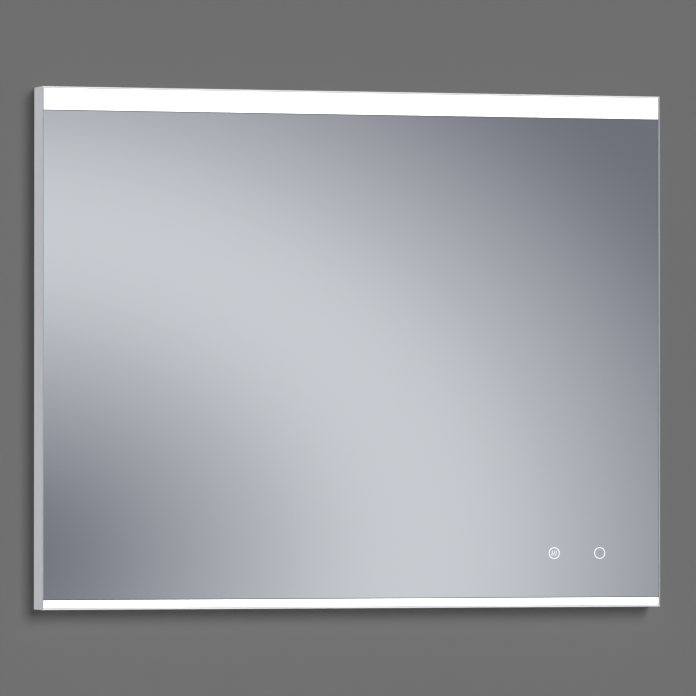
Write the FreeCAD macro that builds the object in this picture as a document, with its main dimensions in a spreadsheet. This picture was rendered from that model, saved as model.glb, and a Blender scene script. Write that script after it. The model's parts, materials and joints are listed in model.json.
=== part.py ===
import FreeCAD, Part
import math
import os

import Sketcher

# A lighted bathroom mirror that hangs on an interlocking wall rail.
# X runs to the viewer's right, Z up, and Y from the room into the wall: the wall is the plane y = 0 and
# everything lies at y <= 0. The origin is the middle of the wall rail's row of screw holes.

doc = FreeCAD.newDocument("LightedMirror")

# ---------------------------------------------------------------- driving dimensions, in millimetres
SIZES = {
    # overall
    "mirror_width": 1000,
    "mirror_height": 800,
    "mirror_depth": 50,  # from the wall to the front of the glass
    "wall_gap": 2,  # the frame's rear edge stays this far off the wall
    "hang_drop": 120,  # from the mirror's top edge down to the wall rail's screws
    # aluminium frame extrusion
    "frame_wall": 2,
    "ledge_width": 3.4,
    "ledge_thick": 1.6,
    "hook_thick": 1,
    "hook_lip": 1.4,
    "rib_thick": 1.2,
    "rib_space": 6,
    "flange_width": 14,
    "flange_thick": 1.6,
    # corner keys in the frame's slot, and their grub screws
    "key_leg": 42,
    "key_thick": 2,
    "key_play": 0.2,
    "grub_radius": 2,
    "grub_length": 4,
    "grub_inset": 14,
    "grub_pitch": 17,
    # panes
    "glass_thick": 5,
    "glass_gap": 0.3,
    "joint_gap": 0.4,
    "arris": 0.4,
    "band_top": 36,
    "band_bottom": 15,
    "tape_thick": 1,
    "tape_inset": 0.4,
    # light channels behind the bands
    "channel_thick": 1.5,
    "channel_lip": 2,
    "channel_rest": 10,
    "channel_end_gap": 1.6,
    "channel_side_gap": 0.5,
    "strip_width_top": 10,
    "strip_width_bottom": 8,
    "strip_thick": 0.3,
    "strip_end_gap": 8,
    "chip_length": 3.5,
    "chip_width": 2.8,
    "chip_thick": 0.7,
    "chip_pitch": 16.67,
    # touch controls at the lower right, lit through the glass
    "icon_radius": 9,
    "icon_line": 1.1,
    "icon_depth": 0.3,
    "dimmer_inset": 100,  # from the right edge
    "control_pitch": 75,  # between the two touch controls
    "control_rise": 84,  # from the bottom edge
    "heat_line_height": 7.6,
    "heat_line_width": 0.8,
    "heat_line_pitch": 3.2,
    "heat_line_bow": 0.7,
    "sensor_radius": 15,
    "sensor_depth": 9.5,
    "sensor_wall": 1.5,
    "sensor_board_thick": 1.2,
    "guide_width": 3,
    # heating pad that keeps the glass clear
    "pad_width": 500,
    "pad_height": 350,
    "pad_thick": 0.6,
    "pad_corner": 14,
    # back cover
    "cover_thick": 1.2,
    "cover_recess": 14,  # from the wall to the cover
    "cover_gap": 0.5,
    "screw_count_wide": 6,
    "screw_count_high": 4,
    "screw_corner": 62,
    "screw_line": 9,  # from the frame's outer face
    "cover_screw_radius": 1.5,
    "cover_screw_length": 4,
    "cover_head_radius": 3,
    "cover_head_height": 1.6,
    "hole_play": 0.3,
    "thread_play": 0.05,
    # driver
    "driver_x": -20,
    "driver_drop": 130,  # below the wall rail's screws
    "driver_length": 150,
    "driver_height": 64,
    "driver_wall": 2,
    "driver_air": 7.8,  # between the glass and the driver
    "driver_post_radius": 3.5,
    "driver_post_inset": 5,
    "driver_screw_radius": 1.6,
    "driver_screw_length": 9,
    "board_lift": 3,
    "board_thick": 1.6,
    "board_gap": 3,
    "transformer_length": 28,
    "transformer_height": 24,
    "transformer_depth": 11,
    "transformer_inset": 5,
    "capacitor_radius": 4,
    "capacitor_length": 10,
    "capacitor_pitch": 14,
    # terminal tray let into the cover, and what it holds
    "tray_offset": 150,  # from the driver's middle
    "tray_width": 90,
    "tray_height": 70,
    "tray_wall": 1.6,
    "tray_rim": 8,
    "lid_thick": 1.2,
    "block_width": 30,
    "block_height": 24,
    "block_depth": 15,
    "block_offset": -20,
    "block_well_radius": 2,
    "block_well_depth": 9,
    "clamp_offset": 22,
    "clamp_drop": 14,
    "clamp_length": 28,
    "clamp_width": 8,
    "clamp_thick": 2.5,
    "clamp_post_height": 6,
    "clamp_post_radius": 3.6,
    "clamp_screw_length": 6,
    "inlet_rise": 14,
    "inlet_bore_radius": 4.2,
    "grommet_neck_radius": 6.5,
    "grommet_flange_radius": 9,
    "grommet_flange_thick": 1.4,
    # interlocking wall rail and hanger
    "rail_length": 620,
    "rail_thick": 2,
    "rail_half": 11,
    "rail_standoff": 7.6,
    "rail_tongue": 14,
    "rail_hole_radius": 2.75,
    "rail_hole_pitch": 180,
    "rail_hole_count": 4,
    "hanger_length": 560,
    "hanger_foot": 26,
    "hanger_play": 0.4,
    "hanger_tip_gap": 1,
    "rivet_count": 6,
    "rivet_pitch": 100,
    "rivet_rise": 15,
    "rivet_radius": 2.4,
    "rivet_head_radius": 4.5,
    "rivet_head_height": 1.2,
    # rubber bumpers that keep the lower edge off the wall
    "bumper_radius": 11,
    "bumper_tip_radius": 8,
    "bumper_inset": 60,
    # earth point
    "earth_rise": 30,
    "earth_screw_radius": 2,
    "earth_screw_length": 8,
    "earth_head_radius": 4,
    "earth_head_height": 1.8,
    "lug_radius": 4.5,
    "lug_thick": 0.8,
    "lug_neck": 1,
    "lug_barrel_radius": 2,
    "lug_barrel_length": 8,
    "nut_width": 7,
    "nut_height": 3.2,
    # wires
    "lead_diameter": 3,
    "mains_diameter": 6,
    "earth_diameter": 2.4,
    "wire_play": 0.15,
    "led_exit": -50,  # from the driver's middle
    "pad_exit": -14,
    "demister_exit": 16,
    "dimmer_exit": 36,
    "lead_run": 20,  # straight out of the driver
    "lead_slope": 50,  # over which it comes to lie on the cover or the pad
    "lead_tail": 24,  # straight along the pad
    "lead_step": 14,  # between the two touch controls' leads
    "lead_entry": 4,  # into a touch control's case
    "sensor_run": 34,  # straight above a touch control
    "sensor_slope": 56,
    "earth_run": 5,
    "clip_width": 9,
    "clip_height": 7,
    "clip_cap": 2,
    "clip_start": 100,  # from the driver
    "clip_pitch": 150,
    "clips_below": 3,
}

# ---------------------------------------------------------------- places worked out from them
PLACES = {
    "out_x": "Sizes.mirror_width / 2",
    "top_z": "Sizes.hang_drop",
    "mid_z": "top_z - Sizes.mirror_height / 2",
    "bottom_z": "top_z - Sizes.mirror_height",
    "in_x": "out_x - Sizes.frame_wall",
    "in_top_z": "top_z - Sizes.frame_wall",
    "in_bottom_z": "bottom_z + Sizes.frame_wall",
    "front_y": "-Sizes.mirror_depth",
    "rear_y": "-Sizes.wall_gap",
    "glass_back_y": "front_y + Sizes.glass_thick",
    "ledge_front_y": "glass_back_y + Sizes.tape_thick",
    "ledge_back_y": "ledge_front_y + Sizes.ledge_thick",
    "cover_rear_y": "-Sizes.cover_recess",
    "cover_front_y": "cover_rear_y - Sizes.cover_thick",
    "flange_front_y": "cover_front_y - Sizes.flange_thick",
    "rib_back_y": "flange_front_y - Sizes.rib_space",
    "rib_front_y": "rib_back_y - Sizes.rib_thick",
    "ledge_in": "Sizes.frame_wall + Sizes.ledge_width",
    "hook_in": "ledge_in - Sizes.hook_thick",
    "flange_in": "Sizes.frame_wall + Sizes.flange_width",
    # corner keys
    "key_front_y": "ledge_back_y + Sizes.key_play",
    "key_back_y": "rib_front_y - Sizes.key_play",
    "key_mid_y": "(key_front_y + key_back_y) / 2",
    "key_in": "hook_in - Sizes.key_thick",
    # panes
    "pane_x": "in_x - Sizes.glass_gap",
    "pane_top_z": "in_top_z - Sizes.glass_gap",
    "pane_bottom_z": "in_bottom_z + Sizes.glass_gap",
    "joint_top_z": "top_z - Sizes.band_top",
    "joint_bottom_z": "bottom_z + Sizes.band_bottom",
    "tape_in": "ledge_in - Sizes.tape_inset",
    # light channels
    "channel_x": "out_x - ledge_in - Sizes.channel_end_gap",
    "channel_start": "Sizes.frame_wall + Sizes.channel_side_gap",
    "floor_front_y": "flange_front_y - Sizes.channel_thick",
    "rest_back_y": "ledge_front_y + Sizes.channel_thick",
    "strip_front_y": "floor_front_y - Sizes.strip_thick",
    "strip_x": "channel_x - Sizes.strip_end_gap",
    "strip_top_in": "(channel_start + Sizes.band_top - Sizes.channel_thick) / 2",
    "strip_bottom_in": "(channel_start + Sizes.band_bottom - Sizes.channel_thick) / 2",
    "chips": "floor(2 * strip_x / Sizes.chip_pitch)",
    # touch controls
    "dimmer_x": "out_x - Sizes.dimmer_inset",
    "demister_x": "dimmer_x - Sizes.control_pitch",
    "control_z": "bottom_z + Sizes.control_rise",
    "sensor_back_y": "glass_back_y + Sizes.sensor_depth",
    "sensor_board_y": "sensor_back_y - Sizes.sensor_wall - Sizes.sensor_board_thick",
    # cover screws
    "screw_span_x": "Sizes.mirror_width - 2 * Sizes.screw_corner",
    "screw_span_z": "Sizes.mirror_height - 2 * Sizes.screw_corner",
    "cover_hole": "Sizes.cover_screw_radius + Sizes.hole_play",
    "tapped_hole": "Sizes.cover_screw_radius + Sizes.thread_play",
    # driver
    "driver_z": "-Sizes.driver_drop",
    "driver_front_y": "glass_back_y + Sizes.driver_air",
    "driver_floor_y": "cover_front_y - Sizes.driver_wall",
    "driver_rim_y": "driver_front_y + Sizes.driver_wall",
    "driver_post_x": "Sizes.driver_length / 2 - Sizes.driver_post_inset",
    "driver_post_z": "Sizes.driver_height / 2 - Sizes.driver_post_inset",
    "driver_top_z": "driver_z + Sizes.driver_height / 2",
    "driver_bottom_z": "driver_z - Sizes.driver_height / 2",
    "driver_hole": "Sizes.driver_screw_radius + Sizes.hole_play",
    "driver_pilot": "Sizes.driver_screw_radius + Sizes.thread_play",
    "board_back_y": "driver_floor_y - Sizes.board_lift",
    "board_front_y": "board_back_y - Sizes.board_thick",
    "board_half_x": "driver_post_x - Sizes.driver_post_radius - Sizes.board_gap / 2",
    "board_half_z": "Sizes.driver_height / 2 - Sizes.driver_wall - Sizes.board_gap",
    "transformer_right_x": "Sizes.driver_x + board_half_x - Sizes.transformer_inset",
    "transformer_x": "transformer_right_x - Sizes.transformer_length / 2",
    # terminal tray
    "tray_x": "Sizes.driver_x + Sizes.tray_offset",
    "tray_floor_y": "driver_front_y + Sizes.tray_wall",
    "rim_front_y": "cover_front_y - Sizes.tray_wall",
    "rim_half_x": "Sizes.tray_width / 2 + Sizes.tray_rim",
    "rim_half_z": "Sizes.tray_height / 2 + Sizes.tray_rim",
    "rim_screw_x": "Sizes.tray_width / 2 + Sizes.tray_rim / 2",
    "rim_screw_z": "Sizes.tray_height / 2 + Sizes.tray_rim / 2",
    "lid_rear_y": "cover_rear_y + Sizes.lid_thick",
    "block_x": "tray_x + Sizes.block_offset",
    "block_rear_y": "tray_floor_y + Sizes.block_depth",
    "clamp_x": "tray_x + Sizes.clamp_offset",
    "clamp_z": "driver_z - Sizes.clamp_drop",
    "clamp_post_y": "tray_floor_y + Sizes.clamp_post_height",
    "clamp_post_x": "Sizes.clamp_length / 2 - Sizes.clamp_width / 2",
    "inlet_z": "driver_z + Sizes.inlet_rise",
    "link_y": "(driver_rim_y + board_front_y) / 2",
    # wall rail and hanger
    "rail_tongue_y": "-Sizes.rail_standoff",
    "rail_front_y": "rail_tongue_y - Sizes.rail_thick",
    "rail_web_z": "Sizes.rail_half + Sizes.rail_thick",
    "rail_top_z": "Sizes.rail_half + Sizes.rail_tongue",
    "hanger_tongue_y": "rail_tongue_y + Sizes.hanger_play",
    "hanger_rear_y": "hanger_tongue_y + Sizes.rail_thick",
    "hanger_foot_y": "cover_rear_y + Sizes.rail_thick",
    "hanger_tip_z": "rail_web_z + Sizes.hanger_tip_gap",
    "hanger_web_z": "rail_top_z + Sizes.rail_thick",
    "hanger_top_z": "rail_top_z + Sizes.hanger_foot",
    "rivet_z": "rail_top_z + Sizes.rivet_rise",
    "bumper_x": "out_x - Sizes.bumper_inset",
    "bumper_z": "bottom_z + Sizes.bumper_inset",
    # earth point above the tray
    "earth_z": "driver_z + rim_half_z + Sizes.earth_rise",
    "lug_front_y": "cover_front_y - Sizes.lug_thick",
    "barrel_y": "cover_front_y - Sizes.lug_barrel_radius",
    "barrel_top_z": "earth_z - Sizes.lug_radius - Sizes.lug_neck",
    "barrel_z": "barrel_top_z - Sizes.lug_barrel_length",
    "earth_lead_y": "block_rear_y - Sizes.earth_diameter",
}

sizes = doc.addObject("Spreadsheet::Sheet", "Sizes")
places = doc.addObject("Spreadsheet::Sheet", "Places")


def fill(sheet, cells):
    """Writes one alias and its value or formula to each row of a sheet."""
    for row, (alias, content) in enumerate(cells.items(), start=1):
        sheet.set(f"A{row}", alias)
        sheet.set(f"B{row}", str(content))
        sheet.setAlias(f"B{row}", alias)


fill(sizes, SIZES)
fill(places, {alias: "=" + formula for alias, formula in PLACES.items()})
doc.recompute()


def size(alias):
    return float(sizes.get(alias))


def place(alias):
    return float(places.get(alias))


# ---------------------------------------------------------------- building blocks
sub_parts = []


def sub_part(shape_object, node):
    """Names an object as one of the finished sub-parts."""
    shape_object.Label = node
    sub_parts.append(shape_object)
    return shape_object


def bind(shape_object, **expressions):
    for prop, expression in expressions.items():
        shape_object.setExpression(prop, expression)


def put(shape_object, spot):
    """Binds an object's place to three expressions."""
    for axis, expression in zip("xyz", spot):
        shape_object.setExpression(f"Placement.Base.{axis}", expression)


TURNS = {
    "+z": FreeCAD.Rotation(),
    "-z": FreeCAD.Rotation(FreeCAD.Vector(1, 0, 0), 180),
    "+y": FreeCAD.Rotation(FreeCAD.Vector(1, 0, 0), -90),
    "-y": FreeCAD.Rotation(FreeCAD.Vector(1, 0, 0), 90),
    "+x": FreeCAD.Rotation(FreeCAD.Vector(0, 1, 0), 90),
    "-x": FreeCAD.Rotation(FreeCAD.Vector(0, 1, 0), -90),
}


def shifted(spot, way, distance):
    """The spot moved by an expression along one of the six ways."""
    moved = list(spot)
    index = "xyz".index(way[1])
    moved[index] = f"({moved[index]}) {way[0]} ({distance})"
    return moved


def rod(name, spot, way, length, radius, tip_radius=None):
    """A cylinder, or a cone with a tip radius, from spot along way."""
    if tip_radius is None:
        solid = doc.addObject("Part::Cylinder", name)
        bind(solid, Radius=radius, Height=length)
    else:
        solid = doc.addObject("Part::Cone", name)
        bind(solid, Radius1=radius, Radius2=tip_radius, Height=length)
    solid.Placement.Rotation = TURNS[way]
    put(solid, spot)
    return solid


def box(name, x_range, y_range, z_range):
    """A box between pairs of expressions."""
    solid = doc.addObject("Part::Box", name)
    for prop, (low, high) in zip(("Length", "Width", "Height"), (x_range, y_range, z_range)):
        solid.setExpression(prop, f"({high}) - ({low})")
    put(solid, (x_range[0], y_range[0], z_range[0]))
    return solid


def around(centre, half):
    """The range that reaches half to each side of centre."""
    return (f"({centre}) - ({half})", f"({centre}) + ({half})")


def fused(name, solids):
    joined = doc.addObject("Part::MultiFuse", name)
    joined.Shapes = solids
    return joined


def grouped(name, solids):
    """Separate solids kept together as one group."""
    group = doc.addObject("Part::Compound", name)
    group.Links = solids
    return group


def cut(name, base, tools):
    """The base less its tools, which may be one or several."""
    less = doc.addObject("Part::Cut", name)
    less.Base = base
    less.Tool = tools[0] if len(tools) == 1 else grouped(name + "_Tools", tools)
    return less


def origin_plane(body, role):
    return next(item for item in body.Origin.OriginFeatures if item.Role == role)


def sketch_on(body, role, offset, loops):
    """A sketch of closed straight-sided loops, each corner bound to a pair of expressions."""
    sketch = body.newObject("Sketcher::SketchObject", body.Name + "_Sketch")
    sketch.AttachmentSupport = [(origin_plane(body, role), "")]
    sketch.MapMode = "FlatFace"
    sketch.setExpression("AttachmentOffset.Base.z", offset)
    for loop in loops:
        first = sketch.GeometryCount
        count = len(loop)
        corners = [
            FreeCAD.Vector(math.cos(2 * math.pi * i / count), math.sin(2 * math.pi * i / count), 0)
            for i in range(count)
        ]
        for i in range(count):
            sketch.addGeometry(Part.LineSegment(corners[i], corners[(i + 1) % count]), False)
        for i in range(count):
            following = first + (i + 1) % count
            sketch.addConstraint(Sketcher.Constraint("Coincident", first + i, 2, following, 1))
        for i, (across, up) in enumerate(loop):
            for kind, expression, guess in (
                ("DistanceX", across, corners[i].x),
                ("DistanceY", up, corners[i].y),
            ):
                index = sketch.addConstraint(Sketcher.Constraint(kind, first + i, 1, guess))
                sketch.setExpression(f"Constraints[{index}]", expression)
    return sketch


def padded(name, role, offset, loop, length):
    """A body padded by length from an outline on one of its own planes."""
    body = doc.addObject("PartDesign::Body", name)
    sketch = sketch_on(body, role, offset, [loop])
    pad = body.newObject("PartDesign::Pad", name + "_Pad")
    pad.Profile = sketch
    pad.setExpression("Length", length)
    return body


def rectangle(across, up):
    """The corners of a rectangle between two pairs of expressions."""
    return [(across[0], up[0]), (across[1], up[0]), (across[1], up[1]), (across[0], up[1])]


def inward(depth):
    """The height of a point that lies depth below an outer face."""
    return f"-({depth})"


def screw(name, spot, way, radius, length, head_radius, head_height):
    """A screw with its seat at spot, its tapered head along way, a hex socket in it and its shank behind."""
    shank = rod(name + "_Shank", shifted(spot, way, f"-({length})"), way, length, radius)
    head = rod(name + "_Head", spot, way, head_height, head_radius, f"0.75 * {head_radius}")
    socket = doc.addObject("Part::Prism", name + "_Socket")
    socket.Polygon = 6
    bind(socket, Circumradius=f"0.45 * {head_radius}", Height=head_height)
    socket.Placement.Rotation = TURNS[way]
    put(socket, shifted(spot, way, f"0.4 * {head_height}"))
    return cut(name, fused(name + "_Solid", [shank, head]), [socket])


def four_corners(x_centre, z_centre, half_x, half_z):
    """The x and z expressions of a rectangle's four corners."""
    return [
        (f"({x_centre}) {x_sign} ({half_x})", f"({z_centre}) {z_sign} ({half_z})")
        for x_sign in "+-"
        for z_sign in "+-"
    ]


# ---------------------------------------------------------------- panes
def pane(name, z_low, z_high):
    """A flat pane with a bevelled front edge."""
    across = ("-Places.pane_x", "Places.pane_x")
    body = padded(name, "XZ_Plane", "-Places.glass_back_y", rectangle(across, (z_low, z_high)),
                  "Sizes.glass_thick")
    doc.recompute()
    pad = body.Tip
    front = next(
        f"Face{i}" for i, face in enumerate(pad.Shape.Faces, start=1)
        if face.normalAt(0, 0).y < -0.5
    )
    bevel = body.newObject("PartDesign::Chamfer", name + "_Arris")
    bevel.Base = (pad, [front])
    bevel.setExpression("Size", "Sizes.arris")
    return body


def ring(name, x, z, front, back, outer, inner):
    """A flat ring about a Y axis, between two y expressions."""
    depth = f"({back}) - ({front})"
    disc = rod(name + "_Disc", (x, front, z), "+y", depth, outer)
    bore = rod(name + "_Bore", (x, front, z), "+y", depth, inner)
    return cut(name, disc, [bore])


def heat_line(x_offset):
    """One upright wavy line of the demister mark: two arcs that bow opposite ways."""
    half = size("heat_line_height") / 2
    bow = size("heat_line_bow")
    radius = (half * half / 4 + bow * bow) / (2 * bow)
    reach = math.degrees(math.asin(half / 2 / radius))
    x = place("demister_x") + x_offset
    front = place("front_y")
    arcs = []
    for side, z in ((1, place("control_z") + half / 2), (-1, place("control_z") - half / 2)):
        centre = FreeCAD.Vector(x - side * (radius - bow), front, z)
        middle = 0 if side == 1 else 180
        rims = [
            Part.makeCircle(radius + grow * size("heat_line_width") / 2, centre,
                            FreeCAD.Vector(0, -1, 0), middle - reach, middle + reach)
            for grow in (-1, 1)
        ]
        ends = [
            Part.makeLine(rims[0].valueAt(at(rims[0])), rims[1].valueAt(at(rims[1])))
            for at in (lambda rim: rim.FirstParameter, lambda rim: rim.LastParameter)
        ]
        wire = Part.Wire(Part.__sortEdges__(rims + ends))
        arcs.append(Part.Face(wire).extrude(FreeCAD.Vector(0, size("icon_depth"), 0)))
    return arcs[0].fuse(arcs[1]).removeSplitter()


def make_panes():
    top_panel = pane("LightPanelTop", "Places.joint_top_z + Sizes.joint_gap / 2", "Places.pane_top_z")
    sub_part(top_panel, "light_panel_top")
    bottom_panel = pane("LightPanelBottom", "Places.pane_bottom_z",
                        "Places.joint_bottom_z - Sizes.joint_gap / 2")
    sub_part(bottom_panel, "light_panel_bottom")

    icon_back = "Places.front_y + Sizes.icon_depth"
    inner = "Sizes.icon_radius - Sizes.icon_line"
    dimmer = ring("DimmerIcon", "Places.dimmer_x", "Places.control_z", "Places.front_y", icon_back,
                  "Sizes.icon_radius", inner)
    sub_part(dimmer, "dimmer_icon")
    demister_ring = ring("DemisterRing", "Places.demister_x", "Places.control_z", "Places.front_y",
                         icon_back, "Sizes.icon_radius", inner)
    lines = doc.addObject("Part::Feature", "HeatLines")
    pitch = size("heat_line_pitch")
    lines.Shape = Part.makeCompound([heat_line(step * pitch) for step in (-1, 0, 1)])
    demister = grouped("DemisterIcon", [demister_ring, lines])
    sub_part(demister, "demister_icon")

    blank = pane("MirrorBlank", "Places.joint_bottom_z + Sizes.joint_gap / 2",
                 "Places.joint_top_z - Sizes.joint_gap / 2")
    glass = cut("MirrorGlass", blank, [dimmer, demister_ring, lines])
    sub_part(glass, "mirror_glass")


# ---------------------------------------------------------------- frame
def frame_bar(name, node, length, turn, spot, hole_places):
    """One mitred bar of the extrusion, modelled lying along X with its outer face up, then turned."""
    wall = inward("Sizes.frame_wall")
    ledge = inward("Places.ledge_in")
    hook = inward("Places.hook_in")
    flange = inward("Places.flange_in")
    section = [
        ("Places.rear_y", "0"),
        ("Places.front_y", "0"),
        ("Places.front_y", wall),
        ("Places.ledge_front_y", wall),
        ("Places.ledge_front_y", ledge),
        ("Places.ledge_back_y + Sizes.hook_lip", ledge),
        ("Places.ledge_back_y + Sizes.hook_lip", hook),
        ("Places.ledge_back_y", hook),
        ("Places.ledge_back_y", wall),
        ("Places.rib_front_y", wall),
        ("Places.rib_front_y", hook),
        ("Places.rib_front_y - Sizes.hook_lip", hook),
        ("Places.rib_front_y - Sizes.hook_lip", ledge),
        ("Places.rib_back_y", ledge),
        ("Places.rib_back_y", wall),
        ("Places.flange_front_y", wall),
        ("Places.flange_front_y", flange),
        ("Places.cover_front_y", flange),
        ("Places.cover_front_y", wall),
        ("Places.rear_y", wall),
    ]
    body = padded(name + "Bar", "YZ_Plane", f"-{length} / 2", section, length)
    reach = "(Places.flange_in + 1)"
    corners = [
        [(f"{sign}{length} / 2", "0"),
         (f"{sign}{length} / 2", f"-{reach}"),
         (f"{sign}({length} / 2 - {reach})", f"-{reach}")]
        for sign in ("", "-")
    ]
    mitre_sketch = sketch_on(body, "XZ_Plane", "Sizes.mirror_depth + 1", corners)
    mitre = body.newObject("PartDesign::Pocket", name + "_Mitres")
    mitre.Profile = mitre_sketch
    mitre.Type = "ThroughAll"
    body.Placement.Rotation = FreeCAD.Rotation(FreeCAD.Vector(0, 1, 0), turn)
    put(body, spot)
    thickness = "Sizes.flange_thick"
    holes = [
        rod(f"{name}Hole{i}", (x, "Places.flange_front_y", z), "+y", thickness, "Places.tapped_hole")
        for i, (x, z) in enumerate(hole_places)
    ]
    sub_part(cut(name, body, holes), node)


def cover_screw_places():
    """The cover screws' x and z, bar by bar."""
    wide = int(size("screw_count_wide"))
    high = int(size("screw_count_high"))
    along_x = [
        f"-Places.screw_span_x / 2 + {i} * Places.screw_span_x / (Sizes.screw_count_wide - 1)"
        for i in range(wide)
    ]
    along_z = [
        f"Places.mid_z - Places.screw_span_z / 2"
        f" + {i} * Places.screw_span_z / (Sizes.screw_count_high - 1)"
        for i in range(high)
    ]
    return {
        "top": [(x, "Places.top_z - Sizes.screw_line") for x in along_x],
        "bottom": [(x, "Places.bottom_z + Sizes.screw_line") for x in along_x],
        "left": [("-Places.out_x + Sizes.screw_line", z) for z in along_z],
        "right": [("Places.out_x - Sizes.screw_line", z) for z in along_z],
    }


def make_frame():
    screws = cover_screw_places()
    width, height = "Sizes.mirror_width", "Sizes.mirror_height"
    frame_bar("FrameTop", "frame_top", width, 0, ("0", "0", "Places.top_z"), screws["top"])
    frame_bar("FrameBottom", "frame_bottom", width, 180, ("0", "0", "Places.bottom_z"), screws["bottom"])
    frame_bar("FrameLeft", "frame_left", height, -90, ("-Places.out_x", "0", "Places.mid_z"),
              screws["left"])
    frame_bar("FrameRight", "frame_right", height, 90, ("Places.out_x", "0", "Places.mid_z"),
              screws["right"])


# ---------------------------------------------------------------- corner keys
def make_corner_keys():
    """L-shaped keys in the frame's slot; each leg's two grub screws jack it against the slot's hooks."""
    edge, thick, leg = "Places.key_in", "Sizes.key_thick", "Sizes.key_leg"
    outline = [
        (f"-{edge}", f"-{edge}"),
        (f"-({leg})", f"-{edge}"),
        (f"-({leg})", f"-({edge} + {thick})"),
        (f"-({edge} + {thick})", f"-({edge} + {thick})"),
        (f"-({edge} + {thick})", f"-({leg})"),
        (f"-{edge}", f"-({leg})"),
    ]
    corners = (
        ("CornerKeyTopRight", "corner_key_top_right", 0, "Places.out_x", "Places.top_z", "-x", "-z"),
        ("CornerKeyBottomRight", "corner_key_bottom_right", 90, "Places.out_x", "Places.bottom_z",
         "-x", "+z"),
        ("CornerKeyBottomLeft", "corner_key_bottom_left", 180, "-Places.out_x", "Places.bottom_z",
         "+x", "+z"),
        ("CornerKeyTopLeft", "corner_key_top_left", 270, "-Places.out_x", "Places.top_z", "+x", "-z"),
    )
    grubs = []
    for name, node, turn, x, z, way_x, way_z in corners:
        body = padded(name + "Blank", "XZ_Plane", "-Places.key_back_y", outline,
                      "Places.key_back_y - Places.key_front_y")
        body.Placement.Rotation = FreeCAD.Rotation(FreeCAD.Vector(0, 1, 0), turn)
        put(body, (x, "0", z))
        holes = []
        for step in (0, 1):
            inset = f"Sizes.grub_inset + {step} * Sizes.grub_pitch"
            for leg_name, along, into in (("Flat", way_x, way_z), ("Upright", way_z, way_x)):
                seat = shifted(shifted((x, "Places.key_mid_y", z), along, inset), into,
                               "Sizes.frame_wall")
                label = f"{name}{leg_name}{step}"
                holes.append(rod(label + "Hole", seat, into, "2 * Sizes.grub_length",
                                 "Sizes.grub_radius + Sizes.thread_play"))
                grub = rod(label + "Grub", seat, into, "Sizes.grub_length", "Sizes.grub_radius")
                socket = doc.addObject("Part::Prism", label + "Socket")
                socket.Polygon = 6
                bind(socket, Circumradius="0.55 * Sizes.grub_radius", Height="Sizes.grub_length")
                socket.Placement.Rotation = TURNS[into]
                put(socket, shifted(seat, into, "0.5 * Sizes.grub_length"))
                grubs.append(cut(label + "GrubScrew", grub, [socket]))
        sub_part(cut(name, body, holes), node)
    sub_part(grouped("CornerKeyGrubScrews", grubs), "corner_key_grub_screws")


# ---------------------------------------------------------------- adhesive tapes
def make_tapes():
    """Tape strips that bond the panes to the frame's ledge and to the light channels' rests."""
    depth = ("Places.glass_back_y", "Places.ledge_front_y")
    outer, inner = "Sizes.frame_wall + Sizes.tape_inset", "Places.tape_in"
    full_x = around("0", f"Places.out_x - ({outer})")
    full_z = (f"Places.bottom_z + {inner}", f"Places.top_z - ({inner})")
    edge = [
        box("TapeTop", full_x, depth, (f"Places.top_z - ({inner})", f"Places.top_z - ({outer})")),
        box("TapeBottom", full_x, depth, (f"Places.bottom_z + {outer}", f"Places.bottom_z + {inner}")),
        box("TapeLeft", (f"-Places.out_x + {outer}", f"-Places.out_x + {inner}"), depth, full_z),
        box("TapeRight", (f"Places.out_x - {inner}", f"Places.out_x - ({outer})"), depth, full_z),
    ]
    sub_part(grouped("EdgeTape", edge), "edge_tape")

    length = around("0", "Places.channel_x")
    joint = [
        box("TapeJointTop", length, depth,
            ("Places.joint_top_z - Sizes.channel_rest + Sizes.tape_inset",
             "Places.joint_top_z + Sizes.channel_lip")),
        box("TapeJointBottom", length, depth,
            ("Places.joint_bottom_z - Sizes.channel_lip",
             "Places.joint_bottom_z + Sizes.channel_rest - Sizes.tape_inset")),
    ]
    sub_part(grouped("JointTape", joint), "joint_tape")


# ---------------------------------------------------------------- light channels, strips and chips
def light_channel(name, node, band, turn, edge_z, screw_places):
    """An extruded channel that closes off the light behind one band and carries the panes' joint."""
    thick = "Sizes.channel_thick"
    section = [
        ("Places.flange_front_y", inward("Places.channel_start")),
        ("Places.floor_front_y", inward("Places.channel_start")),
        ("Places.floor_front_y", inward(f"{band} - {thick}")),
        ("Places.rest_back_y", inward(f"{band} - {thick}")),
        ("Places.rest_back_y", inward(f"{band} - Sizes.channel_lip")),
        ("Places.ledge_front_y", inward(f"{band} - Sizes.channel_lip")),
        ("Places.ledge_front_y", inward(f"{band} + Sizes.channel_rest")),
        ("Places.rest_back_y", inward(f"{band} + Sizes.channel_rest")),
        ("Places.rest_back_y", inward(band)),
        ("Places.flange_front_y", inward(band)),
    ]
    length = "2 * Places.channel_x"
    body = padded(name + "Blank", "YZ_Plane", "-Places.channel_x", section, length)
    body.Placement.Rotation = FreeCAD.Rotation(FreeCAD.Vector(0, 1, 0), turn)
    put(body, ("0", "0", edge_z))
    screw_holes = [
        rod(f"{name}Hole{i}", (x, "Places.floor_front_y", z), "+y", thick, "Places.tapped_hole")
        for i, (x, z) in enumerate(screw_places)
    ]
    way = "+z" if turn == 0 else "-z"
    wire_hole = rod(
        name + "WireHole",
        shifted(("Sizes.driver_x + Sizes.led_exit", "Places.strip_front_y - Sizes.lead_diameter / 2",
                 edge_z), way, f"-({band} + 1)"),
        way, f"{thick} + 2", "Sizes.lead_diameter / 2 + Sizes.wire_play")
    sub_part(cut(name, body, screw_holes + [wire_hole]), node)


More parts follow.
